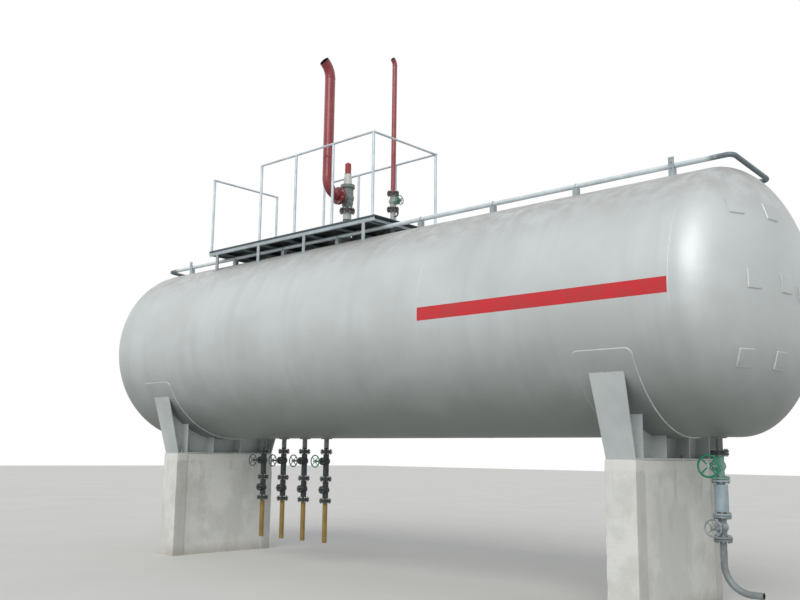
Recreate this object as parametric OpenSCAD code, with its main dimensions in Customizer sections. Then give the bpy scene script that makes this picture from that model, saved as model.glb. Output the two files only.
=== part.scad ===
// Horizontal pressure tank on two concrete piers, with its top platform, cooling pipe and valves.
// X runs along the vessel and +X is the end with the drain. Z = 0 is the ground.

/* [Vessel] */
// Outer radius of the cylindrical shell
shell_r = 1520; // [1400:10:1600]
// Wall thickness of the shell and the heads
wall = 20; // [12:1:30]
// Length of one of the three shell courses
course_len = 3400; // [3200:50:3600]
// Straight length at the root of each head
flange_len = 40; // [25:5:60]
// Depth of the dished part of each head
head_depth = 760; // [700:10:800]

/* [Head pads] */
// Side of a square pad on the near head
pad_side = 180; // [140:10:220]
// Thickness of a pad
pad_t = 14; // [8:1:20]
// Distance from the axis to the outer column of pads
pad_outer_y = 912; // [850:2:940]
// Distance from the axis to the inner column of pads
pad_inner_y = 396; // [350:2:440]
// Height of the middle row of pads above the axis
pad_mid_z = 46; // [0:2:80]
// Spacing between the rows of pads
pad_row = 795; // [740:5:800]
// Width of the name plate
plate_w = 290; // [240:10:320]
// Height of the name plate
plate_h = 160; // [120:10:180]
// How far the name plate stands off the head
plate_reach = 45; // [35:5:70]

/* [Saddles] */
// Distance from a shell end to the middle of its saddle
saddle_in = 870; // [800:10:950]
// Width of the wrap plate along the vessel
wrap_w = 730; // [660:10:800]
// Thickness of the wrap plate
wrap_t = 12; // [8:1:20]
// Angle from the bottom of the vessel to the wrap plate's top edge
wrap_angle = 66; // [62:1:70]
// Radius of the wrap plate's corners
wrap_corner = 80; // [50:5:110]
// Angle from the bottom of the vessel to the top of an end plate
seat_angle = 56.4; // [54:0.2:58]
// Gap between the vessel's bottom and a pier's top
saddle_gap = 260; // [220:10:320]
// Width of an end plate at its top
end_top_w = 425; // [380:5:470]
// Width of an end plate at its foot
end_foot_w = 360; // [330:5:375]
// Distance between the outer faces of the end plates at their feet
saddle_foot = 2026; // [1960:2:2060]
// Thickness of the end plates
end_t = 16; // [10:1:24]
// Thickness of the web
web_t = 14; // [10:1:20]
// Thickness of the ribs
rib_t = 12; // [8:1:16]
// Distance from the centre to an outer rib
rib_outer_y = 830; // [760:5:860]
// Distance from the centre to an inner rib
rib_inner_y = 290; // [240:5:340]
// Thickness of the base plate
base_t = 20; // [14:1:30]

/* [Piers] */
// Height of a pier above the ground
pier_h = 1670; // [1560:10:1800]
// Width of a pier across the vessel
pier_w = 2060; // [2060:10:2200]
// Thickness of a pier along the vessel
pier_t = 385; // [380:5:460]
// Width of the raised strip at each end of a pier's face
pier_strip = 205; // [150:5:260]
// Depth of the panel between the strips
pier_recess = 15; // [5:1:30]

/* [Cooling pipe] */
// Outer diameter of the cooling pipe
spray_od = 60; // [48:1:66]
// Wall thickness of the cooling pipe
spray_wall = 3.5; // [2.5:0.5:5]
// Distance from the axis to the cooling pipe's front leg
spray_y = 462; // [440:2:500]
// Distance between the cooling pipe's front and back legs
spray_span = 1014; // [980:2:1050]
// Slope of the cooling pipe's ends, which puts the back leg lower
spray_tilt = 4; // [2:0.5:5]
// Height of the cooling pipe's front leg above the shell under it
spray_rise = 110; // [95:1:112]
// Reach of the cooling pipe beyond the shell's end
spray_reach = 300; // [260:10:380]
// Bend radius of the cooling pipe
spray_bend = 76; // [60:2:150]
// Spacing of the cooling pipe's brackets
bracket_pitch = 1280; // [1200:10:1300]
// Distance from the middle to the first bracket
bracket_first = 850; // [800:10:900]

/* [Platform] */
// Distance from the middle of the vessel to the platform's near edge
deck_near_x = 185; // [100:5:240]
// Length of the platform
deck_len = 3995; // [3850:5:4100]
// Width of the platform
deck_w = 1480; // [1400:10:1560]
// Height of the deck above the top of the shell
deck_rise = 170; // [170:2:240]
// Thickness of the deck plate
deck_t = 5; // [4:1:8]
// Distance from the deck's long edges and far edge to the middle of a rail post
rail_in = 30; // [25:1:40]
// Distance from the deck's near edge to the middle of a rail post
rail_near_in = 70; // [25:5:100]
// Height of the handrail above the deck
rail_h = 1300; // [1050:10:1350]
// Spacing of the posts along the platform
post_pitch = 865; // [800:5:880]
// Outer diameter of a post
post_od = 42; // [34:1:48]
// Outer diameter of the handrail
rail_od = 34; // [27:1:42]
// Distance from the deck's end to the first leg
leg_in = 225; // [180:5:280]
// Spacing of the first two pairs of legs
leg_pitch = 1310; // [1200:10:1400]

/* [Relief valve] */
// Distance from the middle of the vessel to the relief valve
relief_x = 1150; // [1050:10:1300]
// Height of the relief nozzle's flange face above the top of the shell
relief_face_rise = 595; // [540:5:680]
// Flange diameter at the relief valve's inlet
relief_flange_od = 250; // [235:5:270]
// Flange diameter at the relief valve's outlet
outlet_flange_od = 285; // [265:5:300]
// Outer diameter of the relief vent pipe
relief_pipe_od = 168; // [159:1:180]
// Bend radius of the relief vent pipe
relief_bend = 229; // [200:1:260]
// Bend radius at the top of the relief vent pipe
relief_top_bend = 300; // [230:5:340]
// Height of the relief vent's top bend above the top of the shell
relief_top_rise = 2710; // [2380:5:2880]

/* [Small vent] */
// Distance from the middle of the vessel to the small vent
vent_x = 140; // [80:10:240]
// Height of the small vent nozzle's flange face above the top of the shell
vent_face_rise = 445; // [410:5:490]
// Length of the small vent's valve
vent_valve_len = 255; // [230:5:290]
// Height of the small vent's top bend above the top of the shell
vent_top_rise = 2790; // [2380:5:2880]
// Bend radius at the top of the small vent
vent_top_bend = 115; // [90:5:150]

/* [Risers] */
// Distance from the middle of the vessel to the first riser
riser_first_x = 1500; // [1450:10:1600]
// Spacing of the risers
riser_pitch = 510; // [450:5:540]
// Distance from the bottom of the shell to the riser nozzles' flange faces
riser_face_gap = 208; // [180:2:240]
// Length of an upper riser valve
riser_valve_len = 420; // [380:5:440]
// Length of a lower riser valve
riser_lower_len = 335; // [300:5:360]
// Height of the riser pipes' lower ends above the ground
riser_end_h = 330; // [250:10:420]

/* [Drain] */
// Distance from the shell's end to the drain
drain_in = 200; // [170:5:230]
// Distance from the bottom of the shell to the drain nozzle's flange face
drain_face_gap = 170; // [150:2:190]
// Length of the drain's upper valve
drain_valve_len = 295; // [250:5:310]
// Length of the drain pot
pot_len = 390; // [340:5:420]
// Outer diameter of the drain pot
pot_od = 150; // [133:1:159]
// Length of the drain's lower valve
drain_lower_len = 250; // [230:5:290]
// Bend radius of the drain pipe
drain_bend = 300; // [250:5:340]
// Straight length of the drain pipe above its bend
drain_straight = 265; // [180:5:300]
// Straight length of the drain pipe past its bend
drain_tip = 120; // [80:10:200]

/* [Pipe sizes] */
// Outer diameter of the riser and small vent pipes
pipe65_od = 76; // [70:1:80]
// Flange diameter of the riser and small vent pipes
flange65_od = 185; // [165:5:200]
// Outer diameter of the drain pipe
drain_od = 76; // [57:1:80]
// Flange diameter of the drain fittings
flange80_od = 200; // [185:5:215]
// Thickness of every flange
flange_t = 24; // [18:1:28]
// Height of a flange's raised face
face_t = 3; // [1:0.5:4]
// Wall thickness of the valve and pipe bores
pipe_wall = 5; // [4:0.5:7]
// Outer diameter of the drain valve's handwheel
drain_wheel_od = 260; // [220:5:280]
// Outer diameter of a riser valve's handwheel
riser_wheel_od = 200; // [160:5:220]
// Outer diameter of the drain's lower handwheel
lower_wheel_od = 200; // [160:5:220]
// Outer diameter of the small vent's handwheel
small_wheel_od = 150; // [120:5:170]
// Running clearance between a handwheel and its stem
stem_gap = 0.05; // [0.02:0.01:0.1]

/* [Hidden] */
$fn = 96;
vessel_fn = 360;

vessel_grey = [0.66, 0.68, 0.66];
saddle_grey = [0.72, 0.74, 0.75];
concrete = [0.70, 0.68, 0.64];
galvanised = [0.74, 0.77, 0.78];
vent_red = [0.60, 0.16, 0.17];
valve_green = [0.20, 0.27, 0.26];
wheel_green = [0.05, 0.50, 0.33];
pot_blue = [0.50, 0.58, 0.62];
riser_yellow = [0.72, 0.56, 0.12];
bonnet_white = [0.85, 0.86, 0.84];

// The vessel
shell_len = 3 * course_len;
shell_end = shell_len / 2;
axis_h = pier_h + saddle_gap + shell_r;
head_steps = 30;
eps = 1;
far = 2 * shell_r;

// The name plate on its bracket
plate_y = 50;
plate_wall = 5;
plate_t = 4;

// The saddles and piers
saddle_x = shell_end - saddle_in;
wrap_r = shell_r + wrap_t;
corner_ease = 1;
wrap_fit = 0.3;
foot_y = saddle_foot / 2;
base_top = pier_h + base_t;
base_w = end_foot_w;
seat_y = wrap_r * sin(seat_angle);
seat_z = axis_h - wrap_r * cos(seat_angle);

// The cooling pipe
spray_h = sqrt(pow(shell_r, 2) - pow(spray_y, 2)) + spray_rise;
spray_back_y = spray_span * cos(spray_tilt) - spray_y;
spray_back_h = spray_h - spray_span * sin(spray_tilt);
spray_end = shell_end + spray_reach;
bracket_w = 70;
bracket_t = 8;
bracket_top = 100;
bracket_gap = 5;

// The platform
deck_far_x = deck_near_x - deck_len;
deck_h = shell_r + deck_rise;
deck_top = axis_h + deck_h;
rail_y = deck_w / 2 - rail_in;
rail_near_x = deck_near_x - rail_near_in;
rail_far_x = deck_far_x + rail_in;
rail_z = deck_top + rail_h - rail_od / 2;
post_count = 4;
channel_h = 80;
channel_w = 43;
channel_web = 5;
channel_flange = 8;
cross_h = channel_h - 2 * channel_flange;
leg_w = 63;
leg_t = 6;
leg_pad = 150;
leg_pad_t = 10;
leg_last = deck_len - leg_in;
leg_second = leg_in + leg_pitch;
leg_x = [for (d = [leg_in, leg_second, (leg_second + leg_last) / 2, leg_last]) deck_near_x - d];
mid_x = [for (i = [0:2]) (leg_x[i] + leg_x[i + 1]) / 2];
deck_hole_gap = 20;

// The relief valve
relief_face_h = shell_r + relief_face_rise;
relief_top_h = shell_r + relief_top_rise;
relief_neck_od = 140;
relief_body_h = 425;
body_r = 95;
body_bulge = 12;
body_collar = 22;
body_cover = 24;
body_shoulder = 80;
bonnet_flange_r = 88;
bonnet_flange_h = 20;
bonnet_foot_r = 72;
bonnet_top_r = 56;
bonnet_h = 185;
cap_r = 50;
cap_h = 175;
cap_tip_r = 30;
cap_tip_h = 18;

// The pipes and valves
nozzle_pad_t = 12;
nozzle_pad_margin = 45;
face_in = 35;
stem_r = 12;
stem_past = 10;
valve_neck = 8;
valve_bulb = 26;
valve_bonnet = 4;
valve_cover = 22;
cover_rise = 8;
cover_t = 24;
yoke_t = 12;
yoke_arm = 14;
yoke_gap = 8;
lid_t = 20;
outlet_rise = 212;
outlet_h = relief_face_h + outlet_rise;
outlet_face = 195;
top_bend_angle = 58;
vent_face_h = shell_r + vent_face_rise;
vent_top_h = shell_r + vent_top_rise;
relief_y = -(outlet_face + flange_t + relief_bend);
riser_x = [for (i = [0:3]) -(riser_first_x + i * riser_pitch)];
drain_x = shell_end - drain_in;
pot_neck_h = 30;
pot_foot_h = 15;
pot_wall = 14;
riser_face_drop = shell_r + riser_face_gap;
riser_low_drop = riser_face_drop + riser_valve_len;
riser_end_drop = riser_low_drop + riser_lower_len;
drain_face_drop = shell_r + drain_face_gap;
pot_drop = drain_face_drop + drain_valve_len;
drain_low_drop = pot_drop + pot_len;
drain_end_drop = drain_low_drop + drain_lower_len;
drain_end_h = axis_h - drain_end_drop - drain_straight - drain_bend;
riser_wheel_reach = 235;
drain_wheel_reach = 304;
drain_low_reach = 250;
vent_wheel_reach = 150;
riser_wheel_at = 0.35;
drain_wheel_at = 0.5;
hub_h = 30;

// Outline of a head's half section, at a distance out from its outer face
function head_curve(out) = [for (i = [0:head_steps])
    let (t = 90 * i / head_steps) [(shell_r + out) * cos(t), flange_len + (head_depth + out) * sin(t)]];
function reversed(points) = [for (i = [len(points) - 1:-1:0]) points[i]];

module tube(h, r, t) {
    difference() {
        cylinder(r = r, h = h);
        translate([0, 0, -eps]) cylinder(r = r - t, h = h + 2 * eps);
    }
}

// A solid length of round bar bent round the Z axis, starting on the X axis
module bend(radius, r, angle) {
    rotate_extrude(angle = angle) translate([radius, 0]) circle(r = r);
}

module on_axis(x = 0) {
    translate([x, 0, axis_h]) rotate([0, 90, 0]) children();
}

module vessel_core(out = 0) {
    on_axis(-shell_end) cylinder(r = shell_r + out, h = shell_len, $fn = vessel_fn);
}

module shell_layer(t) {
    on_axis(-shell_end) tube(shell_len, shell_r + t, t, $fn = vessel_fn);
}

// A head and what lies on it, seen from its root, with the dome towards +Z
module head_layer(inner, outer) {
    rotate_extrude($fn = vessel_fn) polygon(concat(head_curve(outer), reversed(head_curve(inner))));
}

module at_near_head() {
    translate([shell_end, 0, axis_h]) children();
}

module head_shell() {
    rotate_extrude($fn = vessel_fn)
        polygon(concat([[shell_r, 0]], head_curve(0), reversed(head_curve(-wall)), [[shell_r - wall, 0]]));
}

// The shell
function nozzle_list() = concat(
    [[-relief_x, 1, relief_neck_od / 2], [-vent_x, 1, pipe65_od / 2], [drain_x, -1, pipe65_od / 2]],
    [for (x = riser_x) [x, -1, pipe65_od / 2]]);

module shell_course(start) {
    color(vessel_grey) difference() {
        on_axis(start) tube(course_len, shell_r, wall, $fn = vessel_fn);
        for (n = nozzle_list()) {
            if (n[0] > start && n[0] < start + course_len) {
                translate([n[0], 0, axis_h]) rotate([n[1] > 0 ? 0 : 180, 0, 0])
                    cylinder(r = n[2] - pipe_wall, h = far);
            }
        }
    }
}

module shell_course_near() { shell_course(shell_end - course_len); }
module shell_course_mid() { shell_course(-course_len / 2); }
module shell_course_far() { shell_course(-shell_end); }

module head_near() {
    color(vessel_grey) at_near_head() rotate([0, 90, 0]) head_shell();
}

module head_far() {
    color(vessel_grey) mirror([1, 0, 0]) at_near_head() rotate([0, 90, 0]) head_shell();
}

// Square pads that lie against the near head, each along the head's own normal
function head_x(y, z) = head_depth * sqrt(1 - (pow(y, 2) + pow(z, 2)) / pow(shell_r, 2));
function head_normal(y, z) =
    let (n = [head_x(y, z) / pow(head_depth, 2), y / pow(shell_r, 2), z / pow(shell_r, 2)])
    n / norm(n);

module on_head(y, z) {
    n = head_normal(y, z);
    translate([flange_len + head_x(y, z), y, z])
        rotate([0, acos(n[2]), atan2(n[1], n[0])]) children();
}

module head_pads() {
    color(vessel_grey) at_near_head() intersection() {
        rotate([0, 90, 0]) head_layer(0, pad_t);
        union() {
            for (y = [-pad_outer_y, -pad_inner_y], row = [-1, 0, 1]) {
                on_head(y, pad_mid_z + row * pad_row)
                    translate([-pad_side / 2, -pad_side / 2, -pad_side / 2]) cube(pad_side);
            }
        }
    }
}

// The name plate on its box-shaped bracket
module nameplate() {
    plate_x = flange_len + head_depth + plate_reach;
    color(vessel_grey) at_near_head() {
        difference() {
            translate([flange_len, plate_y - plate_w / 2, -plate_h / 2])
                cube([head_depth + plate_reach, plate_w, plate_h]);
            translate([0, plate_y - plate_w / 2 + plate_wall, -plate_h / 2 + plate_wall])
                cube([far, plate_w - 2 * plate_wall, plate_h - 2 * plate_wall]);
            rotate([0, 90, 0]) rotate_extrude($fn = vessel_fn)
                polygon(concat([[0, 0], [shell_r, 0]], head_curve(0)));
        }
        translate([plate_x, plate_y - plate_w / 2, -plate_h / 2]) cube([plate_t, plate_w, plate_h]);
    }
}

// A wrap plate: a curved strip under the vessel with its four corners rounded
module wrap_corner_cut() {
    translate([0, 0, -wrap_r - wrap_corner]) linear_extrude(2 * wrap_corner) difference() {
        square(2 * wrap_corner);
        circle(r = wrap_corner);
    }
}

module wrap_plate(x) {
    corner_angle = wrap_angle - asin((wrap_corner - corner_ease) / wrap_r);
    color(vessel_grey) translate([x, 0, axis_h]) difference() {
        rotate([0, 90, 0]) rotate([0, 0, -wrap_angle])
            rotate_extrude(angle = 2 * wrap_angle, $fn = vessel_fn)
                translate([shell_r + wrap_fit, -wrap_w / 2]) square([wrap_t - wrap_fit, wrap_w]);
        for (side = [0, 1], end = [0, 1]) {
            mirror([0, side, 0]) mirror([end, 0, 0]) rotate([corner_angle, 0, 0])
                translate([wrap_w / 2 - wrap_corner + corner_ease, 0, 0]) wrap_corner_cut();
        }
    }
}

// A saddle
module saddle_web(x) {
    slope_top = [seat_y - end_t, seat_z];
    color(saddle_grey) difference() {
        translate([x, 0, 0]) {
            rotate([90, 0, 90]) translate([0, 0, -web_t / 2]) linear_extrude(web_t)
                polygon([[-foot_y + end_t, base_top], [foot_y - end_t, base_top], slope_top,
                    [-slope_top[0], seat_z]]);
            for (y = [-rib_outer_y, -rib_inner_y, rib_inner_y, rib_outer_y]) {
                translate([-base_w / 2, y - rib_t / 2, base_top])
                    cube([base_w, rib_t, axis_h - base_top]);
            }
        }
        vessel_core(wrap_t);
    }
}

module end_plate(x) {
    difference() {
        intersection() {
            translate([x - end_top_w / 2, 0, 0]) rotate([90, 0, 90]) linear_extrude(end_top_w)
                polygon([[foot_y, base_top], [seat_y, seat_z], [seat_y - end_t, seat_z],
                    [foot_y - end_t, base_top]]);
            translate([x, foot_y + shell_r, 0]) rotate([90, 0, 0]) linear_extrude(2 * shell_r)
                polygon([[-end_foot_w / 2, base_top], [end_foot_w / 2, base_top],
                    [end_top_w / 2, seat_z], [-end_top_w / 2, seat_z]]);
        }
        vessel_core(wrap_t);
    }
}

module saddle_end_pair(x) {
    color(saddle_grey) {
        end_plate(x);
        mirror([0, 1, 0]) end_plate(x);
    }
}

module base_plate(x) {
    color(saddle_grey) translate([x - base_w / 2, -foot_y, pier_h]) cube([base_w, 2 * foot_y, base_t]);
}

module at_both_saddles() {
    for (side = [-1, 1]) {
        mirror([side > 0 ? 0 : 1, 0, 0]) children();
    }
}

module wrap_plates() { at_both_saddles() wrap_plate(saddle_x); }
module saddle_webs() { at_both_saddles() saddle_web(saddle_x); }
module saddle_ends() { at_both_saddles() saddle_end_pair(saddle_x); }
module base_plates() { at_both_saddles() base_plate(saddle_x); }

module pier(x) {
    panel_w = pier_w - 2 * pier_strip;
    color(concrete) difference() {
        translate([x - pier_t / 2, -pier_w / 2, 0]) cube([pier_t, pier_w, pier_h]);
        for (side = [-1, 1]) {
            translate([x + side * pier_t / 2 - pier_recess, -panel_w / 2, -eps])
                cube([2 * pier_recess, panel_w, pier_h + 2 * eps]);
        }
    }
}

module pier_near() { pier(saddle_x); }
module pier_far() { pier(-saddle_x); }

// The cooling pipe over the top of the vessel, with its back leg lower than its front leg
module spray_leg(y, h) {
    straight = 2 * (spray_end - spray_bend);
    color(galvanised) translate([-straight / 2, y, axis_h + h]) rotate([0, 90, 0])
        tube(straight, spray_od / 2, spray_wall);
}

module spray_front() { spray_leg(-spray_y, spray_h); }
module spray_back() { spray_leg(spray_back_y, spray_back_h); }

// The bends and the straight that join the legs at one end, from the front leg towards +Y
module spray_end_run(r, past) {
    straight = spray_span - 2 * spray_bend;
    translate([0, spray_span / 2, 0]) {
        for (side = [0, 1]) {
            mirror([0, side, 0]) translate([0, straight / 2, 0]) bend(spray_bend, r, 90 + past);
        }
        translate([spray_bend, straight / 2, 0]) rotate([90, 0, 0]) cylinder(r = r, h = straight);
    }
}

module spray_ends() {
    color(galvanised) for (end = [0, 1]) {
        mirror([end, 0, 0]) translate([spray_end - spray_bend, -spray_y, axis_h + spray_h])
            rotate([-spray_tilt, 0, 0]) difference() {
                spray_end_run(spray_od / 2, 0);
                spray_end_run(spray_od / 2 - spray_wall, eps);
            }
    }
}

// An upright plate outside the cooling pipe, with a gusset that the pipe rests on.
// Under the deck the plate stops short of the platform's frame.
module spray_bracket(x, y, h) {
    under_deck = x > deck_far_x && x < deck_near_x;
    top = under_deck ? deck_h - deck_t - channel_h - bracket_gap : h + bracket_top;
    color(galvanised) difference() {
        union() {
            translate([x - bracket_w / 2, y + spray_od / 2, axis_h])
                cube([bracket_w, bracket_t, top]);
            translate([x + bracket_w / 2 - bracket_t, y - spray_od / 2, axis_h])
                cube([bracket_t, spray_od + bracket_t, h - spray_od / 2]);
        }
        vessel_core();
    }
}

module spray_brackets() {
    for (end = [-1, 1], i = [0:3]) {
        x = end * (bracket_first + i * bracket_pitch);
        spray_bracket(x, spray_back_y, spray_back_h);
        mirror([0, 1, 0]) spray_bracket(x, spray_y, spray_h);
    }
}

// The platform
module platform_deck() {
    color(galvanised) difference() {
        translate([deck_far_x, -deck_w / 2, deck_top - deck_t]) cube([deck_len, deck_w, deck_t]);
        translate([-relief_x, 0, axis_h]) cylinder(d = relief_neck_od + 2 * deck_hole_gap, h = far);
        translate([-vent_x, 0, axis_h]) cylinder(d = pipe65_od + 2 * deck_hole_gap, h = far);
    }
}

module channel(length, h, w, flange) {
    rotate([90, 0, 90]) linear_extrude(length)
        polygon([[0, 0], [w, 0], [w, flange], [channel_web, flange],
            [channel_web, h - flange], [w, h - flange], [w, h], [0, h]]);
}

module platform_frame() {
    frame_top = deck_top - deck_t;
    inner_w = deck_w - 2 * channel_web;
    color(galvanised) translate([0, 0, frame_top - channel_h]) {
        for (side = [0, 1]) {
            mirror([0, side, 0]) translate([deck_far_x, -deck_w / 2, 0])
                channel(deck_len, channel_h, channel_w, channel_flange);
        }
        for (x = concat([deck_near_x - leg_w, deck_far_x, leg_x[0] + leg_w / 2],
                        [for (i = [1:3]) leg_x[i] - leg_w / 2], mid_x)) {
            translate([x, 0, channel_flange]) cross_member(inner_w);
        }
    }
}

// An angle laid across the frame, with one leg up against the deck's side
module cross_member(length) {
    translate([0, length / 2, 0]) rotate([90, 0, 0]) linear_extrude(length)
        polygon([[0, 0], [leg_t, 0], [leg_t, cross_h - leg_t], [leg_w, cross_h - leg_t],
            [leg_w, cross_h], [0, cross_h]]);
}

module platform_leg(x, side) {
    leg_y = deck_w / 2 - leg_w;
    pad_angle = asin((leg_y + leg_w / 2) / shell_r);
    mirror([0, side > 0 ? 0 : 1, 0]) {
        difference() {
            translate([x - leg_w / 2, leg_y, axis_h]) linear_extrude(deck_h - deck_t - channel_h)
                polygon([[0, leg_w], [leg_w, leg_w], [leg_w, leg_w - leg_t], [leg_t, leg_w - leg_t],
                    [leg_t, 0], [0, 0]]);
            vessel_core(leg_pad_t);
        }
        intersection() {
            shell_layer(leg_pad_t);
            translate([x, 0, axis_h]) rotate([-pad_angle, 0, 0]) translate([-leg_pad / 2, -leg_pad / 2, 0])
                cube([leg_pad, leg_pad, far]);
        }
    }
}

module platform_legs() {
    color(galvanised) for (x = leg_x, side = [-1, 1]) platform_leg(x, side);
}

module post(x, y) {
    translate([x, y, deck_top]) cylinder(d = post_od, h = rail_h - rail_od / 2);
}

module rail_along_x(y) {
    rail_len = (post_count - 1) * post_pitch;
    color(galvanised) {
        for (i = [0:post_count - 1]) post(rail_near_x - i * post_pitch, y);
        translate([rail_near_x - rail_len - post_od / 2, y, rail_z]) rotate([0, 90, 0])
            cylinder(d = rail_od, h = rail_len + post_od);
    }
}

module rail_front() { rail_along_x(-rail_y); }
module rail_back() { rail_along_x(rail_y); }

module rail_across(x, half) {
    translate([x, half, rail_z]) rotate([90, 0, 0]) cylinder(d = rail_od, h = 2 * half);
}

module rail_ends() {
    color(galvanised) {
        difference() {
            rail_across(rail_near_x, rail_y - rail_od / 4);
            rail_front_cut();
            mirror([0, 1, 0]) rail_front_cut();
        }
        for (side = [-1, 1]) post(rail_far_x, side * rail_y);
        rail_across(rail_far_x, rail_y + post_od / 2);
    }
}

module rail_front_cut() {
    translate([rail_near_x - post_pitch, -rail_y, rail_z]) rotate([0, 90, 0])
        cylinder(d = rail_od, h = 2 * post_pitch);
    post(rail_near_x, -rail_y);
}

// Flanges, nozzles and valves stand on Z = 0 and point towards +Z
module flange(od) {
    cylinder(d = od - 2 * face_in, h = flange_t);
    translate([0, 0, face_t]) cylinder(d = od, h = flange_t - face_t);
}

// The flange at a fitting's other end, with its raised face on top
module end_flange(od, length) {
    translate([0, 0, length]) mirror([0, 0, 1]) flange(od);
}

module nozzle(x, up, pipe_od, flange_od, face) {
    bore_r = pipe_od / 2 - pipe_wall;
    translate([x, 0, axis_h]) rotate([up ? 0 : 180, 0, 0]) difference() {
        union() {
            cylinder(d = pipe_od, h = face);
            end_flange(flange_od, face);
            intersection() {
                translate([-far / 2, 0, 0]) rotate([0, 90, 0])
                    cylinder(r = shell_r + nozzle_pad_t, h = far, $fn = vessel_fn);
                cylinder(d = pipe_od + 2 * nozzle_pad_margin, h = far);
            }
        }
        translate([-far, 0, 0]) rotate([0, 90, 0]) cylinder(r = shell_r, h = 2 * far, $fn = vessel_fn);
        cylinder(r = bore_r, h = 2 * far);
    }
}

module top_nozzles() {
    color(vessel_grey) {
        nozzle(-relief_x, true, relief_neck_od, relief_flange_od, relief_face_h);
        nozzle(-vent_x, true, pipe65_od, flange65_od, vent_face_h);
    }
}

module bottom_nozzles() {
    color(valve_green) for (x = riser_x) nozzle(x, false, pipe65_od, flange65_od, riser_face_drop);
    color(vessel_grey) nozzle(drain_x, false, pipe65_od, flange80_od, drain_face_drop);
}

// A gate valve with its pipe along Z and its bonnet, yoke and stem towards -Y
module gate_valve(length, flange_od, pipe_od, reach, at) {
    neck_r = pipe_od / 2 + valve_neck;
    bulb_r = pipe_od / 2 + valve_bulb;
    bonnet_r = pipe_od / 2 + valve_bonnet;
    cover_r = pipe_od / 2 + valve_cover;
    cover_y = bulb_r + cover_rise;
    yoke_y = reach - hub_h / 2 - yoke_gap;
    difference() {
        union() {
            flange(flange_od);
            end_flange(flange_od, length);
            cylinder(r = neck_r, h = length);
            translate([0, 0, length * at]) {
                sphere(r = bulb_r);
                rotate([90, 0, 0]) {
                    cylinder(r = bonnet_r, h = cover_y);
                    translate([0, 0, cover_y]) cylinder(r = cover_r, h = cover_t);
                    for (side = [-1, 1]) {
                        translate([side * (bonnet_r - yoke_arm / 2) - yoke_arm / 2, -yoke_t, cover_y])
                            cube([yoke_arm, 2 * yoke_t, yoke_y - cover_y]);
                    }
                    translate([-bonnet_r, -yoke_t, yoke_y - yoke_t])
                        cube([2 * bonnet_r, 2 * yoke_t, yoke_t]);
                    cylinder(r = stem_r, h = reach + hub_h / 2 + stem_past);
                }
            }
        }
        translate([0, 0, -eps]) cylinder(r = pipe_od / 2 - pipe_wall, h = length + 2 * eps);
    }
}

// A shorter valve with a bolted cover towards -Y and nothing that turns
module covered_valve(length, flange_od, pipe_od) {
    neck_r = pipe_od / 2 + valve_neck;
    bulb_r = pipe_od / 2 + valve_bulb;
    cover_r = pipe_od / 2 + valve_cover;
    lid_y = bulb_r + cover_rise;
    difference() {
        union() {
            flange(flange_od);
            end_flange(flange_od, length);
            cylinder(r = neck_r, h = length);
            translate([0, 0, length / 2]) {
                sphere(r = bulb_r);
                rotate([90, 0, 0]) {
                    cylinder(r = pipe_od / 2 + valve_bonnet, h = lid_y);
                    translate([0, 0, lid_y]) cylinder(r = cover_r, h = lid_t);
                    cylinder(r = 2 * stem_r, h = lid_y + 2 * lid_t);
                }
            }
        }
        translate([0, 0, -eps]) cylinder(r = pipe_od / 2 - pipe_wall, h = length + 2 * eps);
    }
}

// A handwheel round the Z axis, with its hub bored for the stem
module handwheel(od) {
    rim_r = od / 2 - od / 22;
    rim_t = od / 22;
    hub_r = stem_r + 12;
    difference() {
        union() {
            rotate_extrude() translate([rim_r, 0]) circle(r = rim_t);
            for (a = [45:90:315]) {
                rotate([0, 90, a]) cylinder(r = rim_t * 0.7, h = rim_r);
            }
            translate([0, 0, -hub_h / 2]) cylinder(r = hub_r, h = hub_h);
        }
        translate([0, 0, -hub_h]) cylinder(r = stem_r + stem_gap, h = 2 * hub_h);
    }
}

module hang(x, drop) {
    translate([x, 0, axis_h - drop]) mirror([0, 0, 1]) children();
}

module riser_valves() {
    color(valve_green) for (x = riser_x) hang(x, riser_face_drop)
        gate_valve(riser_valve_len, flange65_od, pipe65_od, riser_wheel_reach, riser_wheel_at);
}

module riser_lower_valves() {
    color(valve_green) for (x = riser_x) hang(x, riser_low_drop)
        covered_valve(riser_lower_len, flange65_od, pipe65_od);
}

module riser_pipes() {
    end_h = axis_h - riser_end_drop;
    color(riser_yellow) for (x = riser_x) translate([x, 0, 0]) difference() {
        union() {
            end_flange(flange65_od, end_h);
            translate([0, 0, riser_end_h]) cylinder(d = pipe65_od, h = end_h - riser_end_h);
        }
        translate([0, 0, riser_end_h - eps]) cylinder(r = pipe65_od / 2 - pipe_wall, h = end_h);
    }
}

module wheel_at(x, drop, reach, od) {
    color(wheel_green) translate([x, -reach, axis_h - drop]) rotate([90, 0, 0]) handwheel(od);
}

module riser_wheel(i) {
    drop = riser_face_drop + riser_valve_len * riser_wheel_at;
    wheel_at(riser_x[i], drop, riser_wheel_reach, riser_wheel_od);
}

module drain_valve() {
    color(valve_green) hang(drain_x, drain_face_drop)
        gate_valve(drain_valve_len, flange80_od, pipe65_od, drain_wheel_reach, drain_wheel_at);
}

module drain_wheel() {
    drop = drain_face_drop + drain_valve_len * drain_wheel_at;
    wheel_at(drain_x, drop, drain_wheel_reach, drain_wheel_od);
}

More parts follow.
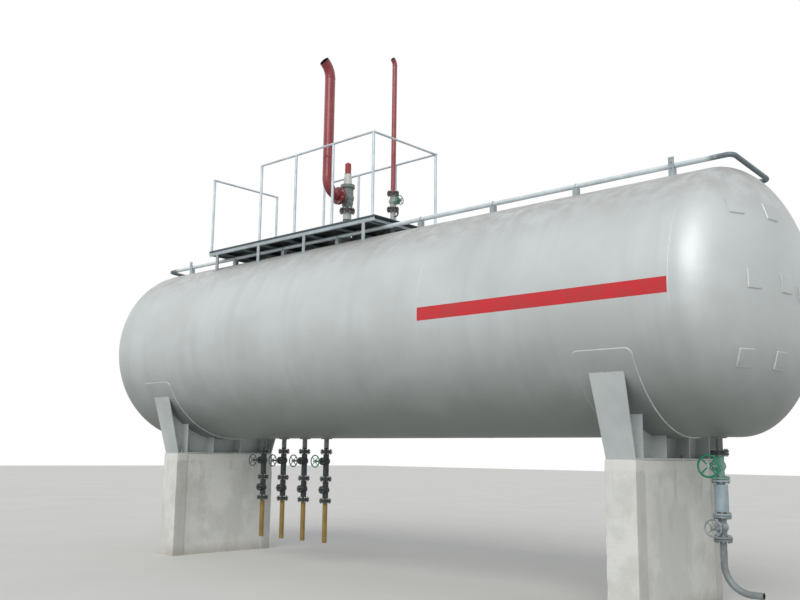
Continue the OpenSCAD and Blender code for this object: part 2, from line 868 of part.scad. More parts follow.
module drain_pot() {
    body_z = flange_t + pot_neck_h;
    body_h = pot_len - body_z - pot_foot_h - flange_t;
    color(pot_blue) hang(drain_x, pot_drop) difference() {
        union() {
            flange(flange80_od);
            cylinder(r = pipe65_od / 2 + valve_neck, h = pot_len);
            translate([0, 0, body_z]) cylinder(d = pot_od, h = body_h);
            end_flange(flange80_od, pot_len);
        }
        translate([0, 0, -eps]) cylinder(r = pipe65_od / 2 - pipe_wall, h = pot_len + 2 * eps);
        translate([0, 0, body_z + pot_wall]) cylinder(d = pot_od - 2 * pot_wall, h = body_h - 2 * pot_wall);
    }
}

module drain_lower_valve() {
    color(valve_green) hang(drain_x, drain_low_drop)
        gate_valve(drain_lower_len, flange80_od, drain_od, drain_low_reach, drain_wheel_at);
}

module drain_lower_wheel() {
    drop = drain_low_drop + drain_lower_len * drain_wheel_at;
    wheel_at(drain_x, drop, drain_low_reach, lower_wheel_od);
}

module drain_run(r, past) {
    top = axis_h - drain_end_drop;
    bend_z = drain_end_h + drain_bend;
    translate([0, 0, bend_z]) cylinder(r = r, h = top - bend_z + past);
    translate([drain_bend, 0, bend_z]) rotate([90, 0, 0]) rotate([0, 0, 180]) bend(drain_bend, r, 90);
    translate([drain_bend, 0, drain_end_h]) rotate([0, 90, 0]) cylinder(r = r, h = drain_tip + past);
}

module drain_pipe() {
    color(pot_blue) translate([drain_x, 0, 0]) difference() {
        union() {
            drain_run(drain_od / 2, 0);
            end_flange(flange80_od, axis_h - drain_end_drop);
        }
        drain_run(drain_od / 2 - pipe_wall, eps);
    }
}

// The relief valve and its vent pipe
module relief_body() {
    bore_r = relief_neck_od / 2 - pipe_wall;
    color(valve_green) translate([-relief_x, 0, axis_h + relief_face_h]) difference() {
        union() {
            flange(relief_flange_od);
            cylinder(d1 = relief_neck_od, d2 = 2 * body_r, h = outlet_rise - body_shoulder);
            translate([0, 0, outlet_rise]) sphere(r = body_r + body_bulge);
            translate([0, 0, outlet_rise - body_shoulder])
                cylinder(r = body_r, h = relief_body_h - outlet_rise + body_shoulder);
            translate([0, 0, relief_body_h - 2 * body_cover])
                cylinder(r = body_r + body_collar, h = 2 * body_cover);
            translate([0, 0, outlet_rise]) rotate([90, 0, 0]) {
                cylinder(d = relief_pipe_od, h = outlet_face);
                end_flange(outlet_flange_od, outlet_face);
            }
        }
        translate([0, 0, -eps]) cylinder(r = bore_r, h = outlet_rise);
        translate([0, 0, outlet_rise]) rotate([90, 0, 0])
            cylinder(r = relief_pipe_od / 2 - pipe_wall, h = far);
    }
}

module relief_bonnet() {
    color(bonnet_white) translate([-relief_x, 0, axis_h + relief_face_h + relief_body_h]) {
        cylinder(r = bonnet_flange_r, h = bonnet_flange_h);
        cylinder(r1 = bonnet_foot_r, r2 = bonnet_top_r, h = bonnet_h);
        translate([0, 0, bonnet_h]) cylinder(r = cap_r, h = cap_h);
        translate([0, 0, bonnet_h + cap_h]) cylinder(r1 = cap_r, r2 = cap_tip_r, h = cap_tip_h);
    }
}

// A bar that stands at the origin and bends towards -Y
module vent_top(radius, r, past) {
    translate([0, -radius, 0]) rotate([90, 0, 90]) bend(radius, r, top_bend_angle + past);
}

module relief_run(r, past) {
    translate([0, -outlet_face + past, outlet_h]) rotate([90, 0, 0])
        cylinder(r = r, h = flange_t + past);
    translate([0, relief_y + relief_bend, outlet_h + relief_bend]) rotate([90, 0, 90]) rotate([0, 0, 180])
        bend(relief_bend, r, 90);
    translate([0, relief_y, outlet_h + relief_bend])
        cylinder(r = r, h = relief_top_h - outlet_h - relief_bend);
    translate([0, relief_y, relief_top_h]) vent_top(relief_top_bend, r, past);
}

module relief_pipe() {
    color(vent_red) translate([-relief_x, 0, axis_h]) difference() {
        union() {
            relief_run(relief_pipe_od / 2, 0);
            translate([0, -outlet_face, outlet_h]) rotate([90, 0, 0]) flange(outlet_flange_od);
        }
        relief_run(relief_pipe_od / 2 - pipe_wall, eps);
    }
}

module vent_valve() {
    color(valve_green) translate([-vent_x, 0, axis_h + vent_face_h]) rotate([0, 0, 90])
        gate_valve(vent_valve_len, flange65_od, pipe65_od, vent_wheel_reach, 0.5);
}

module vent_wheel() {
    color(wheel_green) translate([-vent_x + vent_wheel_reach, 0, axis_h + vent_face_h + vent_valve_len / 2])
        rotate([0, 90, 0]) handwheel(small_wheel_od);
}

module vent_run(r, past) {
    start = vent_face_h + vent_valve_len;
    translate([0, 0, start - past]) cylinder(r = r, h = vent_top_h - start + past);
    translate([0, 0, vent_top_h]) vent_top(vent_top_bend, r, past);
}

module vent_pipe() {
    color(vent_red) translate([-vent_x, 0, axis_h]) difference() {
        union() {
            vent_run(pipe65_od / 2, 0);
            translate([0, 0, vent_face_h + vent_valve_len]) flange(flange65_od);
        }
        vent_run(pipe65_od / 2 - pipe_wall, eps);
    }
}

shell_course_near();
shell_course_mid();
shell_course_far();
head_near();
head_far();
head_pads();
nameplate();
wrap_plates();
saddle_webs();
saddle_ends();
base_plates();
pier_near();
pier_far();
spray_front();
spray_back();
spray_ends();
spray_brackets();
platform_deck();
platform_frame();
platform_legs();
rail_front();
rail_back();
rail_ends();
top_nozzles();
relief_body();
relief_bonnet();
relief_pipe();
vent_valve();
vent_wheel();
vent_pipe();
bottom_nozzles();
riser_valves();
riser_lower_valves();
riser_pipes();
riser_wheel(0);  // riser_wheel_1
riser_wheel(1);  // riser_wheel_2
riser_wheel(2);  // riser_wheel_3
riser_wheel(3);  // riser_wheel_4
drain_valve();
drain_wheel();
drain_pot();
drain_lower_valve();
drain_lower_wheel();
drain_pipe();
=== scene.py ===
import math

import bpy
from mathutils import Matrix, Vector, noise


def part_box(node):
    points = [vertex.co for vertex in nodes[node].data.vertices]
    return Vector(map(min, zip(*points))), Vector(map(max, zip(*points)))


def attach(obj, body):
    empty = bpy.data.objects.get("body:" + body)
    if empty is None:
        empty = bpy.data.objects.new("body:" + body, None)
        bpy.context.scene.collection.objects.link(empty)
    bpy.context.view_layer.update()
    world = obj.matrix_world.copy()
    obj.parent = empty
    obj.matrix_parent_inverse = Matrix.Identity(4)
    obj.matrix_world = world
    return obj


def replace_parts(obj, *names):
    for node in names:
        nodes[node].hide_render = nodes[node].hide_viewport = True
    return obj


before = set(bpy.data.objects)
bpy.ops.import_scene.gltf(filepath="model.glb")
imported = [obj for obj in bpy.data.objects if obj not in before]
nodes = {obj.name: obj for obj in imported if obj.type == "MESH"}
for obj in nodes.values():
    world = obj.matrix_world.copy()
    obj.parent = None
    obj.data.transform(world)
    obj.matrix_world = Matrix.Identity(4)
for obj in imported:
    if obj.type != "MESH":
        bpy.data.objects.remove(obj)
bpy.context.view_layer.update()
scene = bpy.context.scene
print("frame:", len(nodes), "nodes")

# The vessel's own sizes, in metres, that several pieces lean on
vessel = {
    "axis": 3.45,
    "radius": 1.52,
    "seams": (-5.1, -1.7, 1.7, 5.1),
    "headRoot": 5.14,
    "headDepth": 0.76,
}


# Colours are given as they look on screen, from 0 to 255
def tone(red, green, blue):
    def linear(level):
        level /= 255
        return level / 12.92 if level <= 0.04045 else ((level + 0.055) / 1.055) ** 2.4
    return (linear(red), linear(green), linear(blue), 1.0)


class Wire:  # a shader socket that ordinary expressions can use
    def __init__(self, finish, socket):
        self.finish = finish
        self.socket = socket

    def __add__(self, other):
        return self.finish.maths("ADD", self, other)

    def __radd__(self, other):
        return self.finish.maths("ADD", other, self)

    def __sub__(self, other):
        return self.finish.maths("SUBTRACT", self, other)

    def __rsub__(self, other):
        return self.finish.maths("SUBTRACT", other, self)

    def __mul__(self, other):
        return self.finish.maths("MULTIPLY", self, other)

    def __rmul__(self, other):
        return self.finish.maths("MULTIPLY", other, self)


class Finish:  # a material whose pattern is laid out in the row frame, in metres
    def __init__(self, name, **constants):
        self.material = bpy.data.materials.new(name)
        self.material.use_nodes = True
        self.tree = self.material.node_tree
        self.shader = self.tree.nodes["Principled BSDF"]
        for socket, value in constants.items():
            self.shader.inputs[socket.replace("_", " ")].default_value = value
        self.place = self.node("TexCoord", out="Object")
        self.x, self.y, self.z = self.node("SeparateXYZ", {}, {0: self.place}, (0, 1, 2))

    def feed(self, socket, value):
        if isinstance(value, Wire):
            self.tree.links.new(value.socket, socket)
        else:
            socket.default_value = value

    def node(self, kind, settings=None, values=None, out=0):
        made = self.tree.nodes.new("ShaderNode" + kind)
        for key, value in (settings or {}).items():
            setattr(made, key, value)
        for key, value in (values or {}).items():
            self.feed(made.inputs[key], value)
        if isinstance(out, tuple):
            return [Wire(self, made.outputs[name]) for name in out]
        return Wire(self, made.outputs[out])

    def maths(self, operation, first, second=0.0):
        return self.node("Math", {"operation": operation}, {0: first, 1: second})

    def cloud(self, scale, detail=3.0, stretch=(1, 1, 1), rough=0.55):
        place = self.node("VectorMath", {"operation": "MULTIPLY"}, {0: self.place, 1: stretch})
        values = {"Vector": place, "Scale": scale, "Detail": detail, "Roughness": rough}
        return self.node("TexNoise", {}, values)

    def cells(self, scale, out="Distance"):
        return self.node("TexVoronoi", {}, {"Vector": self.place, "Scale": scale}, out)

    def rise(self, value, low, high):  # 0 at low, 1 at high and smooth between
        return self.node("MapRange", {"interpolation_type": "SMOOTHSTEP"},
                         {"Value": value, "From Min": low, "From Max": high})

    def within(self, value, low, high, soft):  # 1 between low and high
        return self.rise(value, low - soft, low + soft) * self.rise(value, high + soft, high - soft)

    def patches(self, low, high, scale, detail=3.0, stretch=(1, 1, 1), rough=0.55):
        return self.rise(self.cloud(scale, detail, stretch, rough), low, high)

    def mix(self, mask, first, second):  # its colours are given as in tone
        first, second = (tone(*shade) if isinstance(shade, tuple) else shade for shade in (first, second))
        return self.node("Mix", {"data_type": "RGBA"}, {0: mask, 6: first, 7: second}, 2)

    def edges(self, width=0.004):  # 1 along the sharp edges
        rounded = self.node("Bevel", {"samples": 4}, {"Radius": width})
        flat = self.node("NewGeometry", out="Normal")
        match = self.node("VectorMath", {"operation": "DOT_PRODUCT"}, {0: rounded, 1: flat}, "Value")
        return self.rise(match, 0.99, 0.86)

    def upward(self):  # 1 on surfaces that face the sky
        return self.node("SeparateXYZ", {}, {0: self.node("NewGeometry", out="Normal")}, 2)

    def show(self, colour, roughness, relief, depth, normal=None):
        self.feed(self.shader.inputs["Base Color"], colour)
        self.feed(self.shader.inputs["Roughness"], roughness)
        bump = self.node("Bump", {}, {"Height": relief, "Distance": depth})
        if normal:
            self.feed(bump.socket.node.inputs["Normal"], normal)
        self.feed(self.shader.inputs["Normal"], bump)
        return self


# A paint coat on steel: faded clouds, dust where it faces up, scuffed edges and a few rust specks
def paintCoat(name, look):
    coat = Finish(name, Metallic=look.get("metallic", 0.0), IOR=1.45, Coat_Weight=look.get("coat", 0.0))
    body = coat.mix(coat.patches(0.35, 0.68, look.get("cloud", 3.0), 4.0), look["colour"], look["faded"])
    dust = coat.rise(coat.upward(), 0.45, 0.95) * coat.patches(0.3, 0.62, 9.0, 5.0)
    colour = coat.mix(dust * look.get("dust", 0.4), body, look.get("dustColour", (168, 158, 142)))
    speck = coat.patches(0.70, 0.76, 45.0, 6.0, rough=0.7)
    colour = coat.mix(speck * look.get("rust", 0.5), colour, look.get("rustColour", (112, 70, 48)))
    if "edge" in look:
        worn = coat.edges() * coat.patches(0.38, 0.6, 30.0, 4.0)
        colour = coat.mix(worn, colour, look["edge"])
    rough = coat.cloud(18.0, 4.0) * 0.22 + (look.get("roughness", 0.42) - 0.11)
    coat.base = colour
    return coat.show(colour, rough, coat.cloud(140.0, 3.0), 0.0006)


vesselLook = {
    "paint": (199, 204, 205),
    "faded": (191, 196, 196),
    "rolled": (183, 188, 189),
    "dust": (160, 155, 150), "dustHeights": (4.15, 4.93),
    "smear": (160, 128, 104), "smearHeights": (4.72, 4.96),
    # painted shade: the lower shell is darker towards the bottom, as it looks in shade
    "under": (126, 132, 129), "underShadeHeights": (3.35, 2.15),
    "rust": (126, 86, 62),
}


def roundNormal(coat):  # the true curve of the shell and the heads, without the facets of their meshes
    root = vessel["headRoot"]
    past = coat.maths("MAXIMUM", coat.x - root, 0.0) + coat.maths("MINIMUM", coat.x + root, 0.0)
    outward = past * (vessel["radius"] / vessel["headDepth"]) ** 2
    slope = coat.node("CombineXYZ", {}, {0: outward, 1: coat.y, 2: coat.z - vessel["axis"]})
    return coat.node("VectorMath", {"operation": "NORMALIZE"}, {0: slope})


def vesselPaint(name, curved):
    look = vesselLook
    coat = Finish(name, Metallic=0.55, IOR=1.45)
    colour = coat.mix(coat.patches(0.36, 0.66, 0.8, 4.0, (1, 1, 1.4)), look["paint"], look["faded"])
    rolled = coat.patches(0.42, 0.70, 1.7, 3.0, (2.0, 0.3, 0.2))
    colour = coat.mix(rolled * 0.45, colour, look["rolled"])
    dust = coat.rise(coat.z, *look["dustHeights"]) * coat.patches(0.28, 0.66, 5.0, 6.0)
    colour = coat.mix(dust * 0.65, colour, look["dust"])
    smear = coat.rise(coat.z, *look["smearHeights"]) * coat.patches(0.50, 0.70, 2.4, 5.0, (1, 1, 0.4))
    colour = coat.mix(smear * 0.5, colour, look["smear"])
    # painted shade: the shell darkens towards its bottom
    under = coat.rise(coat.z + coat.cloud(2.5, 4.0) * 0.3, *look["underShadeHeights"])
    colour = coat.mix(under * 0.85, colour, look["under"])
    specks = coat.patches(0.735, 0.77, 26.0, 7.0, rough=0.75)
    colour = coat.mix(specks * 0.5, colour, look["rust"])
    rough = coat.cloud(11.0, 5.0) * 0.08 + dust * 0.10 + 0.49
    waves = coat.cloud(1.3, 2.0) + coat.cloud(90.0, 3.0) * 0.02
    return coat.show(colour, rough, waves, 0.012, roundNormal(coat) if curved else None)


# The piers' own sizes, which their finish reads too
pier = {
    "half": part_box("pier_near")[1].y,
    "strip": 0.205,
    "recess": 0.015,
    "step": 0.03,
    "waves": 7, "waveDeep": 0.0022,
    "grain": 28, "grainDeep": 0.0012,
    "bites": 11, "chip": 0.009, "cornerReach": 0.045, "rimReach": 0.04,
    "bevel": 0.010, "bevelTall": 0.004,
}


def concreteFace():
    look = {
        "cast": (222, 223, 219),
        "damp": (207, 208, 203),
        # painted shade for the strips beside each corner
        "corner": (184, 184, 178),
        "stain": (170, 164, 154), "dripHeights": (0.1, 1.6), "splashHeights": (0.30, 0.06),
        "mortar": (224, 224, 220), "mortarHeights": (1.60, 1.66),
        "pore": (134, 130, 122),
    }
    coat = Finish("castConcrete", IOR=1.4)
    colour = coat.mix(coat.patches(0.40, 0.60, 1.9, 7.0, rough=0.6), look["cast"], look["damp"])
    # painted shade: the strips beside each corner are darker than the panel between them
    half = pier["half"]
    strip = coat.within(coat.maths("ABSOLUTE", coat.y), half - pier["strip"], half - 0.012, 0.006)
    colour = coat.mix(strip * 0.6, colour, look["corner"])
    drips = coat.patches(0.50, 0.72, 3.0, 5.0, (1.6, 1.6, 0.5)) * coat.rise(coat.z, *look["dripHeights"])
    colour = coat.mix(drips * 0.4, colour, look["stain"])
    splash = coat.rise(coat.z + coat.cloud(8.0, 4.0) * 0.16, *look["splashHeights"])
    colour = coat.mix(splash * 0.6, colour, look["stain"])
    topBand = coat.rise(coat.z + coat.cloud(7.0, 6.0, rough=0.65) * 0.16, *look["mortarHeights"])
    colour = coat.mix(topBand * 0.7, colour, look["mortar"])
    pores = coat.rise(coat.cells(48.0), 0.16, 0.08) * coat.patches(0.5, 0.62, 13.0, 3.0)
    colour = coat.mix(pores * 0.75, colour, look["pore"])
    relief = coat.cloud(30.0, 8.0, rough=0.7) - pores * 0.6
    return coat.show(colour, coat.cloud(20.0, 3.0) * 0.15 + 0.80, relief, 0.006)


def zincCoat(name, look):
    coat = Finish(name, Metallic=look.get("metallic", 0.35), IOR=1.5)
    spangle = coat.cells(look.get("spangle", 70.0), out="Color")
    grey = coat.node("SeparateColor", {}, {0: spangle})
    patches = coat.rise(coat.cloud(5.0, 5.0) + grey * 0.12, 0.34, 0.76)
    colour = coat.mix(patches, look["bright"], look["dull"])
    weather = coat.patches(0.60, 0.70, 16.0, 6.0, rough=0.7)
    colour = coat.mix(weather * look.get("bloom", 0.35), colour, (232, 234, 232))
    rust = coat.patches(0.70, 0.76, 34.0, 7.0, rough=0.75)
    colour = coat.mix(rust * look.get("rust", 0.4), colour, (118, 78, 52))
    if "darkEnds" in look:  # the pipe is weathered dark near its bends
        far = coat.maths("ABSOLUTE", coat.x) + coat.cloud(9.0, 5.0) * 0.25
        far = coat.rise(far, look["darkEnds"], look["darkEnds"] + 0.12)
        colour = coat.mix(far * 0.85, colour, (76, 90, 100))
    coat.base = colour
    rough = coat.cloud(24.0, 4.0) * 0.2 + look.get("roughness", 0.36)
    return coat.show(colour, rough, coat.cloud(120.0, 3.0), 0.0004)


curvedPaint = vesselPaint("curvedPaint", True)
paint = vesselPaint("vesselPaint", False)
concrete = concreteFace()
saddlePaint = paintCoat("saddlePaint", dict(
    colour=(190, 196, 196), faded=(176, 183, 183), edge=(150, 150, 142), rust=0.45, cloud=2.2, dust=0.5,
    roughness=0.45))
stripePaint = paintCoat("stripePaint", dict(
    colour=(204, 42, 50), faded=(190, 52, 56), rust=0.15, cloud=5.0, dust=0.1, roughness=0.4))
pipeZinc = zincCoat("pipeZinc", dict(bright=(220, 230, 234), dull=(198, 210, 216), darkEnds=5.22))
railZinc = zincCoat("railZinc", dict(bright=(208, 219, 226), dull=(184, 197, 206)))
frameZinc = zincCoat("frameZinc", dict(bright=(178, 188, 192), dull=(150, 160, 164), rust=0.6, bloom=0.2))
deckPlate = zincCoat("deckPlate", dict(
    bright=(120, 126, 128), dull=(92, 97, 98), rust=0.8, bloom=0.25, spangle=40.0, roughness=0.5))
boltZinc = zincCoat("boltZinc", dict(
    bright=(168, 170, 166), dull=(128, 130, 126), rust=0.9, metallic=0.7, spangle=200.0))
plateMetal = zincCoat("plateMetal", dict(
    bright=(186, 190, 190), dull=(170, 174, 176), metallic=0.8, rust=0.1, roughness=0.28))
ventLook = dict(
    colour=(138, 42, 50), faded=(150, 60, 64), edge=(96, 52, 44), rust=0.7, dust=0.2,
    dustColour=(178, 132, 122), cloud=6.0, rustColour=(74, 38, 30), roughness=0.34, coat=0.5)
potPaint = paintCoat("potPaint", dict(
    colour=(160, 176, 184), faded=(142, 158, 166), edge=(116, 120, 116), rust=0.4, cloud=8.0, dust=0.3))
drainGrey = paintCoat("drainGrey", dict(
    colour=(132, 140, 142), faded=(112, 118, 120), edge=(86, 84, 80), rust=0.8, cloud=9.0))
# a lighter coat for the wrap plate and pad weld beads: a painted highlight along those edges
beadHighlightPaint = paintCoat("beadHighlightPaint", dict(
    colour=(206, 210, 209), faded=(188, 192, 190), metallic=0.3, rust=0.3, cloud=4.0, dust=0.3))
riserDark = paintCoat("riserDark", dict(
    colour=(48, 58, 62), faded=(38, 44, 46), edge=(92, 92, 88), rust=0.8, cloud=12.0, dust=0.5))
castDark = paintCoat("castDark", dict(
    colour=(74, 80, 80), faded=(58, 60, 58), edge=(112, 108, 98), rust=0.8, cloud=14.0, dust=0.4))
wheelGreen = paintCoat("wheelGreen", dict(
    colour=(16, 136, 98), faded=(30, 122, 90), edge=(84, 100, 84), rust=0.5, cloud=20.0, dust=0.25))
wheelDull = paintCoat("wheelDull", dict(
    colour=(74, 100, 92), faded=(60, 78, 74), edge=(96, 92, 80), rust=0.8, cloud=20.0, dust=0.3))
hubPale = paintCoat("hubPale", dict(
    colour=(196, 200, 192), faded=(160, 164, 156), rust=0.7, cloud=25.0, dust=0.3))
gasketBlack = paintCoat("gasketBlack", dict(
    colour=(38, 38, 40), faded=(52, 50, 48), rust=0.3, cloud=30.0, dust=0.1, roughness=0.75))
# rust inside the open pipes, made darker still as painted shade
pipeInsideRustAndShade = paintCoat("pipeInsideRustAndShade", dict(
    colour=(34, 26, 24), faded=(54, 36, 30), rust=0.8, cloud=14.0, dust=0.2, roughness=0.8))


# A coat that changes along a height or a distance, such as dark flanges on a pale valve
def bandedCoat(name, look, bands, kind=paintCoat):
    finish = kind(name, look)
    colour = finish.base
    for axis, low, high, shade in bands:
        band = finish.within(getattr(finish, axis), low, high, 0.0015)
        colour = finish.mix(band, colour, shade)
    finish.feed(finish.shader.inputs["Base Color"], colour)
    return finish


flangeBrown = (66, 58, 54)
valveBlue = (50, 58, 62)
riserYellow = bandedCoat("riserYellow", dict(
    colour=(146, 120, 60), faded=(126, 106, 56), edge=(98, 82, 50), rust=0.8, cloud=7.0),
    [("z", 0.945, 1.0, valveBlue)])
reliefPaint = bandedCoat("reliefPaint", dict(
    colour=(134, 146, 140), faded=(112, 122, 118), edge=(92, 88, 80), rust=0.7, cloud=9.0),
    [("z", 5.0, 5.590, flangeBrown), ("y", -0.40, -0.169, (138, 50, 50))])
bonnetPaint = bandedCoat("bonnetPaint", dict(
    colour=(222, 224, 220), faded=(202, 204, 198), edge=(150, 146, 138), rust=0.5, cloud=9.0),
    [("z", 6.176, 6.5, (162, 60, 62))])
ventValvePaint = bandedCoat("ventValvePaint", dict(
    colour=(172, 182, 176), faded=(146, 156, 150), edge=(100, 96, 88), rust=0.6, cloud=12.0),
    [("z", 5.3, 5.4395, flangeBrown), ("z", 5.6455, 5.8, flangeBrown)])
# The dark bands near the top of each vent's bend are painted shade.
ventRed = bandedCoat("ventRed", ventLook, [("z", 7.925, 8.2, (96, 42, 44))])
ventPipePaint = bandedCoat("ventPipePaint", ventLook,
                           [("z", 5.6, 5.6945, (98, 42, 44)), ("z", 7.84, 8.0, (96, 42, 44))])
topNozzlePaint = bandedCoat("topNozzlePaint", dict(
    colour=(194, 199, 197), faded=(178, 183, 180), edge=(140, 138, 130), rust=0.5, cloud=6.0),
    [("z", 5.5405, 5.60, flangeBrown), ("z", 5.3905, 5.4155, flangeBrown)])
bottomNozzlePaint = bandedCoat("bottomNozzlePaint", dict(
    colour=(120, 130, 128), faded=(100, 108, 106), edge=(84, 82, 76), rust=0.7, cloud=8.0),
    [("z", 1.70, 1.7845, valveBlue)])
drainValvePaint = bandedCoat("drainValvePaint", dict(
    colour=(128, 172, 158), faded=(112, 152, 140), edge=(104, 106, 96), rust=0.6, cloud=12.0),
    [("z", 1.7355, 1.80, valveBlue)])
deckFrameZinc = bandedCoat("deckFrameZinc", dict(
    bright=(182, 192, 196), dull=(158, 168, 172), rust=0.6, bloom=0.2),
    [("z", 5.102, 5.2, (62, 76, 86))], zincCoat)
drainLowerPaint = paintCoat("drainLowerPaint", dict(
    colour=(150, 162, 168), faded=(126, 136, 142), edge=(96, 96, 92), rust=0.7, cloud=12.0))
print("finishes made")

finishOf = {
    curvedPaint: ("shell_course_near", "shell_course_mid", "shell_course_far", "head_near", "head_far"),
    paint: ("head_pads", "wrap_plates", "nameplate"),  # these stand off the curve
    saddlePaint: ("saddle_webs", "saddle_ends", "base_plates"),
    pipeZinc: ("spray_front", "spray_back", "spray_ends"),
    frameZinc: ("spray_brackets", "platform_legs"),
    deckFrameZinc: ("platform_frame",),
    deckPlate: ("platform_deck",),
    railZinc: ("rail_front", "rail_back", "rail_ends"),
    topNozzlePaint: ("top_nozzles",),
    reliefPaint: ("relief_body",),
    bonnetPaint: ("relief_bonnet",),
    ventRed: ("relief_pipe",),
    ventValvePaint: ("vent_valve",),
    ventPipePaint: ("vent_pipe",),
    bottomNozzlePaint: ("bottom_nozzles",),
    riserDark: ("riser_valves", "riser_lower_valves"),
    riserYellow: ("riser_pipes",),
    wheelGreen: ("vent_wheel", "riser_wheel_1", "drain_wheel"),
    wheelDull: ("riser_wheel_2", "riser_wheel_3", "riser_wheel_4"),
    drainLowerPaint: ("drain_lower_valve", "drain_lower_wheel"),
    drainValvePaint: ("drain_valve",),
    potPaint: ("drain_pot",),
    drainGrey: ("drain_pipe",),
    concrete: ("pier_near", "pier_far"),
}
for finish, names in finishOf.items():
    for name in names:
        for materialSlot in nodes[name].material_slots:
            materialSlot.material = finish.material


def turns(count, start=0.0):
    return [start + 2 * math.pi * k / count for k in range(count)]


def standing(point, direction):  # local Z along the direction
    turned = Vector(direction).to_track_quat("Z", "Y").to_matrix().to_4x4()
    return Matrix.Translation(Vector(point)) @ turned


def shift(x, y, z):
    return Matrix.Translation((x, y, z))


def crossings(path, ring=False):  # each point of a path with two directions across it
    path = [Vector(p) for p in path]
    count = len(path)
    up = None
    for i, here in enumerate(path):
        ahead = path[(i + 1) % count] if ring or i < count - 1 else here
        behind = path[i - 1] if ring or i else here
        along = (ahead - behind).normalized()
        up = along.orthogonal() if up is None else up
        up = (up - along * up.dot(along)).normalized()
        yield here, up, along.cross(up)


def centre(name):
    low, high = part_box(name)
    return (low + high) / 2


class Shape:  # points and faces that end up as one piece
    def __init__(self):
        self.points = []
        self.faces = []

    def add(self, points, faces, place=None):
        start = len(self.points)
        self.points += [place @ Vector(p) if place else Vector(p) for p in points]
        self.faces += [tuple(start + i for i in face) for face in faces]

    def skin(self, rings, ring=False):  # joins equal rings of points, each one further along
        count = len(rings)
        around = len(rings[0])
        faces = []
        for i in range(count if ring else count - 1):
            j = (i + 1) % count
            for k in range(around):
                m = (k + 1) % around
                faces.append((i * around + k, i * around + m, j * around + m, j * around + k))
        if not ring:
            faces.append(tuple(reversed(range(around))))
            faces.append(tuple(range((count - 1) * around, count * around)))
        self.add([p for points in rings for p in points], faces)

    def lathe(self, outline, place, steps=24, ring=False):
        self.skin([[place @ Vector((r * math.cos(a), r * math.sin(a), h)) for a in turns(steps)]
                   for r, h in outline], ring)

    def sweep(self, path, radius, steps=8, ring=False, rough=0.0):
        rings = []
        for here, up, side in crossings(path, ring):
            size = radius * (1 + rough * noise.noise(here * 40))
            rings.append([here + size * (math.cos(a) * up + math.sin(a) * side) for a in turns(steps)])
        self.skin(rings, ring)

    def nut(self, place, size, height=0.85):
        corner = 0.866 * size
        tall = height * size
        self.lathe([(corner * 0.92, 0), (corner, 0.08 * tall), (corner, 0.8 * tall), (corner * 0.84, tall)],
                   place, 6)

    def washer(self, place, size):
        self.lathe([(0.95 * size, 0), (0.95 * size, 0.12 * size), (0.9 * size, 0.15 * size)], place, 16)

    def stud(self, place, size, low, high, past):  # threaded, with a washer and a nut at each end
        tip = 0.85 * size + past * size
        self.lathe([(size * 0.42, low - tip), (size * 0.5, low - tip + 0.1 * size),
                    (size * 0.5, high + tip - 0.1 * size), (size * 0.42, high + tip)], place, 10)
        for end in (place @ shift(0, 0, high), place @ shift(0, 0, low) @ Matrix.Rotation(math.pi, 4, "X")):
            self.washer(end, size)
            self.nut(end @ shift(0, 0, 0.15 * size), size, 0.75)

    def flangeStuds(self, point, direction, circle, count, size, low, high, past):
        place = standing(point, direction)
        for angle in turns(count, math.pi / count):
            foot = shift(circle * math.cos(angle), circle * math.sin(angle), 0)
            self.stud(place @ foot @ Matrix.Rotation(angle, 4, "Z"), size, low, high, past)

    def piece(self, name, finish, body="vessel", slot=None, smooth=40):
        mesh = bpy.data.meshes.new(name)
        mesh.from_pydata(self.points, [], self.faces)
        mesh.update()
        mesh.shade_smooth()
        mesh.set_sharp_from_angle(angle=math.radians(smooth))
        mesh.materials.append(finish.material)
        made = bpy.data.objects.new(name, mesh)
        scene.collection.objects.link(made)
        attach(made, body)
        return made


def onShell(x, angle, out=0.0):  # the angle is from the top, towards the camera's side
    reach = vessel["radius"] + out
    return Vector((x, -reach * math.sin(angle), vessel["axis"] + reach * math.cos(angle)))


def onHead(y, z, out=0.0):  # a point of the near head, by its distances from the axis
    away = (y * y + z * z) / vessel["radius"] ** 2
    x = vessel["headDepth"] * math.sqrt(max(0.0, 1 - away))
    normal = Vector((x / vessel["headDepth"] ** 2, y / vessel["radius"] ** 2, z / vessel["radius"] ** 2))
    normal.normalize()
    return Vector((vessel["headRoot"] + x, y, vessel["axis"] + z)) + normal * out, normal


def flatRing(x, y, z, radius, count):
    return [(x + radius * math.cos(a), y + radius * math.sin(a), z) for a in turns(count)]


def between(first, last, step):
    count = max(1, math.ceil(abs(last - first) / step))
    return [first + (last - first) * k / count for k in range(count + 1)]


# The red stripe on the side of the near course
stripe = {"from": 1.716, "to": 5.088, "low": 3.349, "high": 3.516, "thick": 0.0009, "sink": 0.002}


def stripeBand():
    band = Shape()
    top = math.pi / 2 - math.asin((stripe["high"] - vessel["axis"]) / vessel["radius"])
    bottom = math.pi / 2 - math.asin((stripe["low"] - vessel["axis"]) / vessel["radius"])
    rings = []
    for x in between(stripe["from"], stripe["to"], 0.08):
        outer = [onShell(x, a, stripe["thick"]) for a in between(top, bottom, 0.01)]
        inner = [onShell(x, a, -stripe["sink"]) for a in between(bottom, top, 0.01)]
        rings.append(outer + inner)
    band.skin([list(reversed(points)) for points in rings])
    band.piece("redStripe", stripePaint, slot="vessel_paint")


# The radius of each weld bead
welds = {
    "girth": 0.009, "girthSink": 0.0078,
    "longSeams": {-3.4: -1.75, 0.0: -2.35, 3.4: -1.95},  # each course's middle, and an angle on its back
    "courseHalf": 1.7,
    "wrap": 0.010, "pad": 0.011, "plate": 0.004, "web": 0.006, "rib": 0.005,
    "platform": 0.005, "post": 0.004, "rail": 0.002, "nozzle": 0.005,
    "step": 0.03,
}


